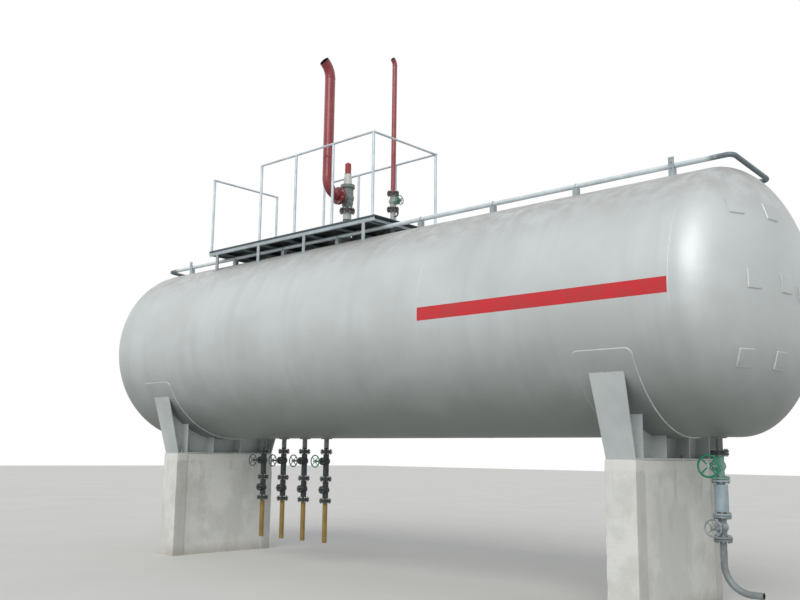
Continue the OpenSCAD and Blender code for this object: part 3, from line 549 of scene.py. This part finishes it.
def shellWelds():
    beads = Shape()
    for x in vessel["seams"]:
        path = [onShell(x, a, -welds["girthSink"]) for a in turns(330)]
        beads.sweep(path, welds["girth"], 8, True, 0.25)
    half = welds["courseHalf"]
    for middle, angle in welds["longSeams"].items():
        along = between(middle - half, middle + half, welds["step"])
        beads.sweep([onShell(x, angle, -welds["girthSink"]) for x in along], welds["girth"], rough=0.25)
    beads.piece("shellWelds", paint, slot="vessel_paint")


def roundedRectangle(halfLong, halfWide, corner, step):
    points = []
    for k, (signU, signV) in enumerate(((1, 1), (-1, 1), (-1, -1), (1, -1))):
        middle = Vector((signU * (halfLong - corner), signV * (halfWide - corner)))
        for a in between(k * math.pi / 2, (k + 1) * math.pi / 2, 0.2):
            points.append(middle + corner * Vector((math.cos(a), math.sin(a))))
    path = []
    for i, here in enumerate(points):
        gap = points[(i + 1) % len(points)] - here
        pieces = max(1, math.ceil(gap.length / step))
        path += [here + gap * k / pieces for k in range(pieces)]
    return path


saddle = {
    "x": 4.23,
    "wrapHalfWidth": 0.365, "wrapAngle": 66, "wrapCorner": 0.08, "wrapThick": 0.012,
    "plateTop": 1.69,
    "halfFoot": 0.178, "halfAcross": 1.013, "webReach": 0.99, "ribReach": 0.168,
    "ribs": (-0.83, -0.29, 0.29, 0.83),
    "webHalf": 0.007, "ribHalf": 0.006,
    "seatAngle": 56.4,
}


def wrapWelds():
    beads = Shape()
    halfArc = math.radians(saddle["wrapAngle"]) * vessel["radius"]
    for side in (-1, 1):
        outline = roundedRectangle(saddle["wrapHalfWidth"], halfArc, saddle["wrapCorner"], welds["step"])
        path = [onShell(side * saddle["x"] + p.x, math.pi - p.y / vessel["radius"], 0.002) for p in outline]
        beads.sweep(path, welds["wrap"], 8, True, 0.2)
    # these beads take the lighter coat, a painted highlight
    beads.piece("wrapWelds", beadHighlightPaint, slot="vessel_paint")


# The six square pads of the near head and the name plate's bracket
pads = {"half": 0.09, "columns": (-0.912, -0.396), "rows": (-0.749, 0.046, 0.841),
        "corner": 0.004, "step": 0.02, "plateY": 0.05, "plateHalf": (0.145, 0.08)}


def padWelds():
    beads = Shape()
    for y in pads["columns"]:
        for z in pads["rows"]:
            foot, normal = onHead(y, z)
            tilt = math.acos(normal.z)
            heading = math.atan2(normal.y, normal.x)
            down = Vector((math.cos(tilt) * math.cos(heading), math.cos(tilt) * math.sin(heading),
                           -math.sin(tilt)))
            across = Vector((-math.sin(heading), math.cos(heading), 0))
            path = []
            for p in roundedRectangle(pads["half"], pads["half"], pads["corner"], pads["step"]):
                spot = foot + down * p.x + across * p.y
                path.append(onHead(spot.y, spot.z - vessel["axis"], 0.001)[0])
            beads.sweep(path, welds["pad"], 8, True, 0.2)
    outline = roundedRectangle(*pads["plateHalf"], pads["corner"], pads["step"])
    beads.sweep([onHead(pads["plateY"] + p.x, p.y, 0.001)[0] for p in outline], welds["plate"], 8, True, 0.2)
    # these beads take the lighter coat, a painted highlight
    beads.piece("padWelds", beadHighlightPaint, slot="vessel_paint")


def saddleWelds():
    beads = Shape()
    top = saddle["plateTop"]
    reach = vessel["radius"] + saddle["wrapThick"]
    web, rib = welds["web"], welds["rib"]
    arc = between(math.radians(180 - saddle["seatAngle"]), math.radians(180 + saddle["seatAngle"]), 0.03)
    for side in (-1, 1):
        x = side * saddle["x"]
        for face in (-1, 1):
            flat = x + face * saddle["webHalf"]
            beads.sweep([(flat, y, top) for y in between(-saddle["webReach"], saddle["webReach"], 0.06)],
                        web, rough=0.2)
            beads.sweep([(flat, -reach * math.sin(a), vessel["axis"] + reach * math.cos(a)) for a in arc],
                        web, rough=0.2)
            for y in saddle["ribs"]:
                height = vessel["axis"] - math.sqrt(reach ** 2 - y ** 2)
                for flank in (-1, 1):
                    edge = y + flank * saddle["ribHalf"]
                    beads.sweep([(x + face * (saddle["webHalf"] + d), edge, top)
                                 for d in between(0.0, saddle["ribReach"], 0.06)], rib, rough=0.2)
                    beads.sweep([(flat, edge, z) for z in between(top, height - 0.01, 0.08)], rib, rough=0.2)
            beads.sweep([(x + d, face * saddle["halfAcross"] - face * 0.001, top)
                         for d in between(-saddle["halfFoot"], saddle["halfFoot"], 0.05)], web, rough=0.2)
    beads.piece("saddleWelds", saddlePaint, slot="saddle_paint")


# Anchor studs with their nuts on the base plates
anchors = {"size": 0.024, "inset": 0.115, "rows": (-0.90, -0.235, 0.235, 0.90), "above": 0.03, "below": 0.04}


def anchorStuds():
    studs = Shape()
    size, above = anchors["size"], anchors["above"]
    rod = [(size / 2, -anchors["below"]), (size / 2, above + 0.012), (size * 0.42, above + 0.015)]
    for side in (-1, 1):
        for offset in (-anchors["inset"], anchors["inset"]):
            for y in anchors["rows"]:
                place = shift(side * saddle["x"] + offset, y, saddle["plateTop"])
                studs.lathe(rod, place, 12)
                studs.washer(place, size)
                studs.nut(place @ shift(0, 0, 0.15 * size), size)
    studs.piece("anchorStuds", boltZinc, slot="galvanised")


# Flange joints: each kind's diameter, number of studs, stud size and the stud's length past its nut
flange = {
    "valve": (0.185, 8, 0.016, 0.35),
    "drain": (0.200, 8, 0.016, 0.35),
    "pot": (0.200, 8, 0.016, 0.0),
    "reliefFoot": (0.250, 8, 0.020, 0.3),
    "reliefOutlet": (0.285, 8, 0.020, 0.3),
    "thick": 0.024, "studIn": 0.020, "faceIn": 0.031, "gap": 0.003, "gasketWide": 0.012,
}

# The vents' places, and how far the relief outlet and the bends are from the ends of their pipes
vent = {"reliefY": -0.448, "outletUp": 0.1424, "reliefTop": 0.3257, "smallTop": 0.1298}

joints = []


def joint(x, name, edge, kind):  # at the top, 1, or the foot, 0, of a node
    joints.append((Vector((x, 0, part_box(name)[edge].z)), (0, 0, 1), *flange[kind]))


riserX = [centre(f"riser_wheel_{n}").x for n in range(1, 5)]
drainX = centre("drain_wheel").x
ventX = centre("vent_pipe").x
reliefX = centre("relief_bonnet").x
for x in riserX:
    joint(x, "riser_valves", 1, "valve")
    joint(x, "riser_valves", 0, "valve")
    joint(x, "riser_lower_valves", 0, "valve")
joint(drainX, "drain_valve", 1, "drain")
joint(drainX, "drain_valve", 0, "drain")
joint(drainX, "drain_pot", 0, "pot")
joint(drainX, "drain_pipe", 1, "drain")
joint(ventX, "vent_valve", 0, "valve")
joint(ventX, "vent_valve", 1, "valve")
joint(reliefX, "relief_body", 0, "reliefFoot")
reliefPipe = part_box("relief_pipe")
reliefOutlet = Vector((reliefX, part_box("relief_body")[0].y, reliefPipe[0].z + vent["outletUp"]))
joints.append((reliefOutlet, (0, 1, 0), *flange["reliefOutlet"]))
bendStart = {"relief": reliefPipe[1].z - vent["reliefTop"],
             "vent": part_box("vent_pipe")[1].z - vent["smallTop"]}


def flangeJoints():
    studs, gaskets = Shape(), Shape()
    thick, half = flange["thick"], flange["gap"] * 0.5
    for point, direction, across, count, size, past in joints:
        studs.flangeStuds(point, direction, across / 2 - flange["studIn"], count, size, -thick, thick, past)
        outer = across / 2 - flange["faceIn"]
        inner = outer - flange["gasketWide"]
        gaskets.lathe([(inner, -half), (outer, -half), (outer, half), (inner, half)],
                      standing(point, direction), 40, True)
    studs.piece("flangeStuds", boltZinc, slot="galvanised")
    gaskets.piece("gaskets", gasketBlack)


# Bolted covers on the valves, and the relief valve's bonnet with a lock ring under its cap
cover = {"face": 0.096, "lowerFace": 0.092, "circle": 0.050, "bolt": 0.010, "count": 6,
         "bonnetCircle": 0.1025, "bonnetStuds": 8, "bonnetStud": 0.012, "bonnetDeep": 0.048, "ringUp": 0.185,
         "ring": [(0.048, -0.004), (0.060, -0.002), (0.060, 0.010), (0.048, 0.012)]}


def coverBolts():
    covers = []
    for n, x in enumerate(riserX, 1):
        covers.append((Vector((x, -cover["face"], centre(f"riser_wheel_{n}").z)), (0, -1, 0)))
        covers.append((Vector((x, -cover["lowerFace"], centre("riser_lower_valves").z)), (0, -1, 0)))
    for name in ("drain_wheel", "drain_lower_wheel"):
        covers.append((Vector((drainX, -cover["face"], centre(name).z)), (0, -1, 0)))
    covers.append((Vector((ventX + cover["face"], 0, centre("vent_wheel").z)), (1, 0, 0)))
    bolts = Shape()
    circle, size = cover["circle"], cover["bolt"]
    for point, direction in covers:
        place = standing(point, direction)
        for angle in turns(cover["count"], math.pi / 6):
            foot = place @ shift(circle * math.cos(angle), circle * math.sin(angle), 0)
            bolts.washer(foot, size)
            bolts.nut(foot @ shift(0, 0, 0.15 * size), size)
    collar = Vector((reliefX, 0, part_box("relief_bonnet")[0].z))
    bolts.flangeStuds(collar, (0, 0, 1), cover["bonnetCircle"], cover["bonnetStuds"], cover["bonnetStud"],
                      -cover["bonnetDeep"], 0.0, 0.3)
    bolts.lathe(cover["ring"], standing(collar + Vector((0, 0, cover["ringUp"])), (0, 0, 1)), 6, True)
    bolts.piece("coverBolts", boltZinc, slot="galvanised")


# Each handwheel's cap washer and nut turn with it: their outlines are radius and height from the hub's face
wheels = {"vent_wheel": (1, 0, 0), "drain_wheel": (0, -1, 0), "drain_lower_wheel": (0, -1, 0)}
wheels.update({f"riser_wheel_{n}": (0, -1, 0) for n in range(1, 5)})
wheelCap = {
    "hub": 0.015,
    "washer": [(0.0125, 0), (0.0235, 0), (0.0235, 0.002), (0.022, 0.003), (0.0125, 0.003)],
    "nut": [(0.0125, 0.003), (0.019, 0.003), (0.0205, 0.0045), (0.0205, 0.009), (0.018, 0.0105),
            (0.0125, 0.0105)],
    "pale": ("drain_wheel", "riser_wheel_1"),
}


def wheelNuts():
    for name, direction in wheels.items():
        place = standing(centre(name) + Vector(direction) * wheelCap["hub"], direction)
        cap = Shape()
        cap.lathe(wheelCap["washer"], place, 24, True)
        cap.lathe(wheelCap["nut"], place, 6, True)
        finish = hubPale if name in wheelCap["pale"] else boltZinc
        cap.piece(name + "_nut", finish, body=name, slot="wheel_paint")


# The cooling pipe's brackets: the last at each end is tall, the others are low shelves under the pipe
bracket = {"first": 0.85, "pitch": 1.28, "half": 0.035, "thick": 0.008, "tall": 0.100, "pipe": 0.030,
           "sink": 0.012}
bracketX = [end * (bracket["first"] + k * bracket["pitch"]) for end in (-1, 1) for k in range(4)]


def tallBracket(x):
    return abs(x) > bracket["first"] + 2.5 * bracket["pitch"]


def pipeBrackets():
    steel = Shape()

    def block(x, y, z):
        steel.add([(a, b, c) for a in x for b in sorted(y) for c in z],
                  [(0, 1, 3, 2), (4, 6, 7, 5), (0, 4, 5, 1), (2, 3, 7, 6), (0, 2, 6, 4), (1, 5, 7, 3)])

    half, thick, radius = bracket["half"], bracket["thick"], bracket["pipe"]
    for pipe, side in (("spray_front", -1), ("spray_back", 1)):
        y, height = centre(pipe).yz
        back, inner, outer = y - side * radius, y + side * radius, y + side * (radius + thick)
        foot = vessel["axis"] + math.sqrt(vessel["radius"] ** 2 - outer ** 2) - bracket["sink"]
        ledge = height - radius
        for x in bracketX:
            tall = tallBracket(x)
            under = ledge if tall else ledge - thick
            block((x - half, x + half), (inner, outer), (foot, height + bracket["tall"] if tall else ledge))
            block((x + half - thick, x + half), (back, inner), (foot, under))
            if not tall:
                block((x - half, x + half), (back, inner), (under, ledge))
    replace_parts(steel.piece("pipeBrackets", frameZinc, slot="galvanised", smooth=20), "spray_brackets")


# U-bolts that hold the cooling pipe to its brackets
clips = {"rod": 0.004, "reach": 0.034, "plate": 0.038, "end": 0.052, "nut": 0.009}


def pipeClips():
    rods = Shape()
    reach = clips["reach"]
    arc = [(-reach * math.cos(a), reach * math.sin(a)) for a in between(math.pi / 2, -math.pi / 2, 0.2)]
    route = [(clips["end"], reach)] + arc + [(clips["end"], -reach)]
    for pipe, side in (("spray_front", -1), ("spray_back", 1)):
        y, height = centre(pipe).yz
        for x in bracketX:
            if tallBracket(x):
                rods.sweep([(x, y + side * out, height + across) for out, across in route], clips["rod"])
                nuts = [(x, y + side * clips["plate"], height + across) for across in (-reach, reach)]
                facing = (0, side, 0)
            else:
                rods.sweep([(x, y + across, height - out) for out, across in route], clips["rod"])
                nuts = [(x, y + across, height - clips["plate"]) for across in (-reach, reach)]
                facing = (0, 0, -1)
            for spot in nuts:
                rods.nut(standing(spot, facing), clips["nut"])
    rods.piece("pipeClips", boltZinc, slot="galvanised")


# Raised treads of the deck plate, which stay clear of the two nozzles' holes
treads = {"pitch": 0.045, "long": 0.030, "wide": 0.009, "tall": 0.0016, "sink": 0.0005, "ridge": 0.6,
          "edge": 0.03, "reliefHole": 0.110, "ventHole": 0.078}


def deckTreads():
    low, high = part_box("platform_deck")
    treadMarks = Shape()
    half, thin, sink = treads["long"] / 2, treads["wide"] / 2, -treads["sink"]
    ridge, tall = half * treads["ridge"], treads["tall"]
    points = [(-half, 0, sink), (0, -thin, sink), (half, 0, sink), (0, thin, sink),
              (-ridge, 0, tall), (ridge, 0, tall)]
    faces = [(0, 1, 4), (1, 5, 4), (1, 2, 5), (2, 3, 5), (3, 4, 5), (3, 0, 4), (0, 3, 2, 1)]
    holes = ((reliefX, treads["reliefHole"]), (ventX, treads["ventHole"]))
    pitch, edge = treads["pitch"], treads["edge"]
    for i in range(int((high.x - low.x - 2 * edge) / pitch) + 1):
        for j in range(int((high.y - low.y - 2 * edge) / pitch) + 1):
            spot = Vector((low.x + edge + i * pitch, low.y + edge + j * pitch, high.z))
            if any((spot - Vector((x, 0, high.z))).length < reach for x, reach in holes):
                continue
            slant = math.pi / 4 * (1 if (i + j) % 2 else -1)
            treadMarks.add(points, faces, Matrix.Translation(spot) @ Matrix.Rotation(slant, 4, "Z"))
    treadMarks.piece("deckTreads", deckPlate, slot="galvanised")


# The handrails' tubes and posts, and the platform's legs with their pads on the shell
rails = {"tube": 0.021, "drop": 0.036, "bays": 3}
legs = {"angle": 0.4848, "half": 0.075, "pitch": 1.31, "corner": 0.003}


def railWelds():
    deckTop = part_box("platform_deck")[1].z
    low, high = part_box("rail_front")
    rowY = centre("rail_front").y
    tube = rails["tube"]
    near, last = high.x - tube, low.x + tube
    postX = [near + (last - near) * k / rails["bays"] for k in range(rails["bays"] + 1)]
    postX.append(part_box("rail_ends")[0].x + tube)
    beads = Shape()
    for x in postX:
        for y in (rowY, -rowY):
            for z, size in ((deckTop + 0.001, welds["post"]), (high.z - rails["drop"], welds["rail"])):
                beads.sweep(flatRing(x, y, z, tube, 28), size, 8, True, 0.3)
    half = legs["half"]
    near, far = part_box("platform_legs")[1].x - half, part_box("platform_legs")[0].x + half
    second = near - legs["pitch"]
    for x in (near, second, (second + far) / 2, far):
        for side in (-1, 1):
            outline = roundedRectangle(half, half, legs["corner"], welds["step"])
            path = [onShell(x + p.x, side * legs["angle"] + p.y / vessel["radius"], 0.001) for p in outline]
            beads.sweep(path, welds["platform"], 8, True, 0.2)
    beads.piece("platformWelds", frameZinc, slot="galvanised")


# The nozzles' necks and pads, and the butt welds of the two vents
nozzle = {"relief": 0.070, "small": 0.038, "pad": 0.045, "padOut": 0.002, "neckOut": 0.013}
ventWeld = {"relief": 0.083, "small": 0.0375, "bend": 0.235, "middle": 6.345, "outletIn": 0.0275,
            "smallFoot": 0.027, "below": 0.005, "bead": 0.005, "smallBead": 0.004}


def pipeWelds():
    necks = [(reliefX, nozzle["relief"], 1), (ventX, nozzle["small"], 1), (drainX, nozzle["small"], -1)]
    necks += [(x, nozzle["small"], -1) for x in riserX]
    beads = Shape()
    for x, radius, up in necks:
        for ring, out in ((radius + nozzle["pad"], nozzle["padOut"]), (radius, nozzle["neckOut"])):
            path = []
            for a in turns(40):
                y = ring * math.sin(a)
                rise = math.sqrt((vessel["radius"] + out) ** 2 - y ** 2)
                path.append((x + ring * math.cos(a), y, vessel["axis"] + up * rise))
            beads.sweep(path, welds["nozzle"], 8, True, 0.25)
    beads.piece("nozzleWelds", paint, slot="vessel_paint")

    vents = Shape()
    radius, bead = ventWeld["relief"], ventWeld["bead"]
    for z in (reliefOutlet.z + ventWeld["bend"], ventWeld["middle"], bendStart["relief"] - ventWeld["below"]):
        vents.sweep(flatRing(reliefX, vent["reliefY"], z, radius, 40), bead, 8, True, 0.25)
    vents.sweep([reliefOutlet + Vector((radius * math.cos(a), -ventWeld["outletIn"], radius * math.sin(a)))
                 for a in turns(40)], bead, 8, True, 0.25)
    for z in (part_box("vent_pipe")[0].z + ventWeld["smallFoot"], bendStart["vent"] - ventWeld["below"]):
        vents.sweep(flatRing(ventX, 0, z, ventWeld["small"], 30), ventWeld["smallBead"], 8, True, 0.25)
    vents.piece("ventWelds", ventRed, slot="vent_paint")


# A small capped elbow on the neck of the small vent
elbow = {"z": 5.30, "neck": 0.03, "out": 0.075, "radius": 0.011, "bend": 0.03, "top": 0.055,
         "cap": [(0.014, -0.016), (0.016, -0.014), (0.016, 0.004), (0.013, 0.006)],
         "plug": [(0.010, 0.006), (0.010, 0.016), (0.008, 0.018)]}


def ventElbow():
    out, bend, height = ventX + elbow["out"], elbow["bend"], elbow["z"]
    path = [(ventX + elbow["neck"], 0, height)]
    path += [(out + bend * math.sin(a), 0, height + bend * (1 - math.cos(a)))
             for a in between(0, math.pi / 2, 0.2)]
    path.append((out + bend, 0, height + elbow["top"]))
    small = Shape()
    small.sweep(path, elbow["radius"], 12)
    top = standing(path[-1], (0, 0, 1))
    small.lathe(elbow["cap"], top, 6)
    small.lathe(elbow["plug"], top, 12)
    small.piece("ventElbow", castDark, slot="valve_paint")


# Dark linings a short way inside the open pipe ends: rust inside the pipes, darkened further as painted shade
mouth = {
    "relief": 0.0785, "small": 0.0325, "wall": 0.0015,
    "reliefBend": 0.300, "ventBend": 0.115, "bendEnd": 57.6, "bendDeep": 20,
    "drainUp": 0.038, "drainIn": (0.002, 0.11),
    "riserEnd": (0.332, 0.45),
}


def pipeMouths():
    mouths = Shape()

    def lining(path, radius):  # a cup along the path, open at its start
        outer, inner = [], []
        for here, up, side in crossings(path):
            for ring, reach in ((outer, radius), (inner, radius - mouth["wall"])):
                ring.append([here + reach * (math.cos(a) * up + math.sin(a) * side) for a in turns(32)])
        mouths.skin(list(reversed(inner[:-1])) + outer)

    def topBend(x, y, z, bend, radius):
        angles = between(math.radians(mouth["bendEnd"]), math.radians(mouth["bendDeep"]), 0.08)
        lining([(x, y - bend + bend * math.cos(a), z + bend * math.sin(a)) for a in angles], radius)

    topBend(reliefX, vent["reliefY"], bendStart["relief"], mouth["reliefBend"], mouth["relief"])
    topBend(ventX, 0.0, bendStart["vent"], mouth["ventBend"], mouth["small"])
    low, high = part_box("drain_pipe")
    first, last = (high.x - inward for inward in mouth["drainIn"])
    lining([(x, 0, low.z + mouth["drainUp"]) for x in between(first, last, 0.03)], mouth["small"])
    for x in riserX:
        lining([(x, 0, z) for z in between(*mouth["riserEnd"], 0.03)], mouth["small"])
    mouths.piece("pipeMouths", pipeInsideRustAndShade)


# The bare name plate: a rimmed face with four rivets
plate = {
    "face": (0.135, 0.070, 0.012), "rim": (0.127, 0.062, 0.008),  # half length, half height, corner
    "back": -0.001, "edge": 0.0015, "rimTop": 0.0020, "panel": 0.0008,
    "rivetLong": 0.118, "rivetWide": 0.053,
    "rivet": [(0.0045, 0), (0.0045, 0.001), (0.0035, 0.0022), (0.0015, 0.0028)],
}


def plateFace():
    middle = centre("nameplate")
    middle.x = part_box("nameplate")[1].x
    turnOut = (Matrix.Translation(middle) @ Matrix.Rotation(math.pi / 2, 4, "Z")
               @ Matrix.Rotation(math.pi / 2, 4, "X"))
    outline, rim = (roundedRectangle(*plate[key], 0.5) for key in ("face", "rim"))
    face = Shape()
    face.skin([[turnOut @ Vector((p.x, p.y, h)) for p in points]
               for points, h in ((outline, plate["back"]), (outline, plate["edge"]),
                                 (rim, plate["rimTop"]), (rim, plate["panel"]))])
    for y in (-plate["rivetLong"], plate["rivetLong"]):
        for z in (-plate["rivetWide"], plate["rivetWide"]):
            face.lathe(plate["rivet"], turnOut @ shift(y, z, 0.0005), 12)
    face.piece("plateFace", plateMetal, slot="plate_paint")


# The piers, cast with slightly uneven faces and worn corners
def castPier(name, seed):
    low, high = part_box(name)
    middle = Vector(((low.x + high.x) / 2, 0, 0))
    hx, hy, top = (high.x - low.x) / 2, high.y, high.z
    inner, edge = hx - pier["recess"], hy - pier["strip"]
    corners = [(-hx, -hy), (hx, -hy), (hx, -edge), (inner, -edge), (inner, edge), (hx, edge), (hx, hy),
               (-hx, hy), (-hx, edge), (-inner, edge), (-inner, -edge), (-hx, -edge)]
    loop = []
    for i, here in enumerate(corners):
        here = Vector(here)
        gap = Vector(corners[(i + 1) % len(corners)]) - here
        pieces = max(1, round(gap.length / pier["step"]))
        loop += [here + gap * k / pieces for k in range(pieces)]
    rings = []
    for z in between(0.0, top, pier["step"]):
        ring = []
        for p in loop:
            spot = Vector((p.x, p.y, z))
            worn = pier["waveDeep"] * (0.5 + 0.5 * noise.noise(spot * pier["waves"] + Vector((seed, 0, 0))))
            worn += pier["grainDeep"] * (0.5 + 0.5 * noise.noise(spot * pier["grain"] + Vector((0, seed, 0))))
            corner = max(0.0, 1 - ((hx - abs(p.x)) + (hy - abs(p.y))) / pier["cornerReach"])
            rim = max(0.0, 1 - (top - z) / pier["rimReach"])
            bite = max(0.0, noise.noise(spot * pier["bites"] + Vector((0, 0, seed))) + 0.1)
            worn += pier["chip"] * max(corner, rim * 0.7) * (0.25 + bite)
            inward = Vector((-math.copysign(1, p.x) if abs(p.x) > inner - 0.001 else 0,
                             -math.copysign(1, p.y) if abs(p.y) > hy - 0.001 else 0, 0))
            ring.append(middle + spot + inward * worn)
        rings.append(ring)
    last = rings.pop()
    shrinkX, shrinkY = 1 - pier["bevel"] / hx, 1 - pier["bevel"] / hy
    rings.append([Vector((p.x, p.y, top - pier["bevelTall"])) for p in last])
    rings.append([Vector((middle.x + (p.x - middle.x) * shrinkX, p.y * shrinkY, top)) for p in last])
    block = Shape()
    block.skin(rings)
    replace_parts(block.piece(name + "_cast", concrete, slot="concrete", smooth=50), name)


stripeBand()
shellWelds()
wrapWelds()
padWelds()
saddleWelds()
pipeWelds()
railWelds()
print("stripe and welds made")
anchorStuds()
flangeJoints()
coverBolts()
wheelNuts()
pipeBrackets()
pipeClips()
print("bolts made")
deckTreads()
ventElbow()
pipeMouths()
plateFace()
castPier("pier_near", 3.0)
castPier("pier_far", 17.0)
print("deck, mouths, plate and piers made")


# A plain pale floor, soft lamps and the camera
studio = {
    "floor": (224, 223, 219), "floorPatch": (219, 218, 214), "floorSize": 90.0,
    "fill": 0.50, "sky": (0.93, 0.965, 1.0, 1.0),
    "lampColour": (1.0, 0.985, 0.96),
    "keyLamp": (1.60, (0.36, -0.74, 0.57), 42.0),  # strength, direction and spread in degrees
    "sideLamp": (0.12, (-1.0, -0.25, 0.45), 40.0),
}


def makeStudio():
    ground = Shape()
    half = studio["floorSize"]
    ground.add([(-half, -half, 0), (half, -half, 0), (half, half, 0), (-half, half, 0)], [(0, 1, 2, 3)])
    mesh = bpy.data.meshes.new("floor")
    mesh.from_pydata(ground.points, [], ground.faces)
    floor = bpy.data.objects.new("floor", mesh)
    scene.collection.objects.link(floor)
    pale = Finish("floorPaint", IOR=1.4)
    patches = pale.patches(0.2, 0.8, 0.5)
    pale.show(pale.mix(patches, studio["floor"], studio["floorPatch"]), 0.85, patches, 0.0005)
    mesh.materials.append(pale.material)

    for name in ("keyLamp", "sideLamp"):
        power, source, spread = studio[name]
        lamp = bpy.data.lights.new(name, "SUN")
        lamp.energy = power
        lamp.angle = math.radians(spread)
        lamp.color = studio["lampColour"]
        holder = bpy.data.objects.new(name, lamp)
        holder.rotation_euler = Vector(source).to_track_quat("Z", "Y").to_euler()
        scene.collection.objects.link(holder)

    world = bpy.data.worlds.new("studioSky")
    scene.world = world
    world.use_nodes = True
    tree = world.node_tree
    tree.nodes.clear()

    def add(kind, *values):  # a node with values or links for its first sockets
        made = tree.nodes.new("ShaderNode" + kind)
        for socket, value in zip(made.inputs, values):
            if isinstance(value, bpy.types.NodeSocket):
                tree.links.new(value, socket)
            else:
                socket.default_value = value
        return made

    sky = add("Background", studio["sky"], studio["fill"])
    white = add("Background", (1.0, 1.0, 1.0, 1.0), 1.0)
    rays = add("LightPath")
    seen = rays.outputs["Is Camera Ray"]
    for other in ("Is Glossy Ray", "Is Transmission Ray"):
        either = add("Math", seen, rays.outputs[other])
        either.operation = "MAXIMUM"
        seen = either.outputs[0]
    add("OutputWorld", add("MixShader", seen, sky.outputs[0], white.outputs[0]).outputs[0])


# The camera stands a little above eye height and looks up and along the vessel
viewpoint = {"place": (9.3601, -10.1487, 1.6969), "heading": 42.584, "pitch": 9.429, "roll": 0.714,
             "lens": 41.82, "sensor": 36.0, "farthest": 500.0}


def makeCamera():
    heading, pitch, roll = (math.radians(viewpoint[key]) for key in ("heading", "pitch", "roll"))
    forward = Vector((-math.sin(heading) * math.cos(pitch), math.cos(heading) * math.cos(pitch),
                      math.sin(pitch)))
    right = Vector((math.cos(heading), math.sin(heading), 0))
    up = right.cross(forward)
    across = math.cos(roll) * right + math.sin(roll) * up
    above = -math.sin(roll) * right + math.cos(roll) * up
    data = bpy.data.cameras.new("camera")
    data.lens = viewpoint["lens"]
    data.sensor_width = viewpoint["sensor"]
    data.clip_end = viewpoint["farthest"]
    camera = bpy.data.objects.new("camera", data)
    turned = Matrix((across, above, -forward)).transposed().to_4x4()
    camera.matrix_world = Matrix.Translation(Vector(viewpoint["place"])) @ turned
    scene.collection.objects.link(camera)
    scene.camera = camera


makeStudio()
makeCamera()
scene.view_settings.view_transform = "Standard"
print("studio and camera made")
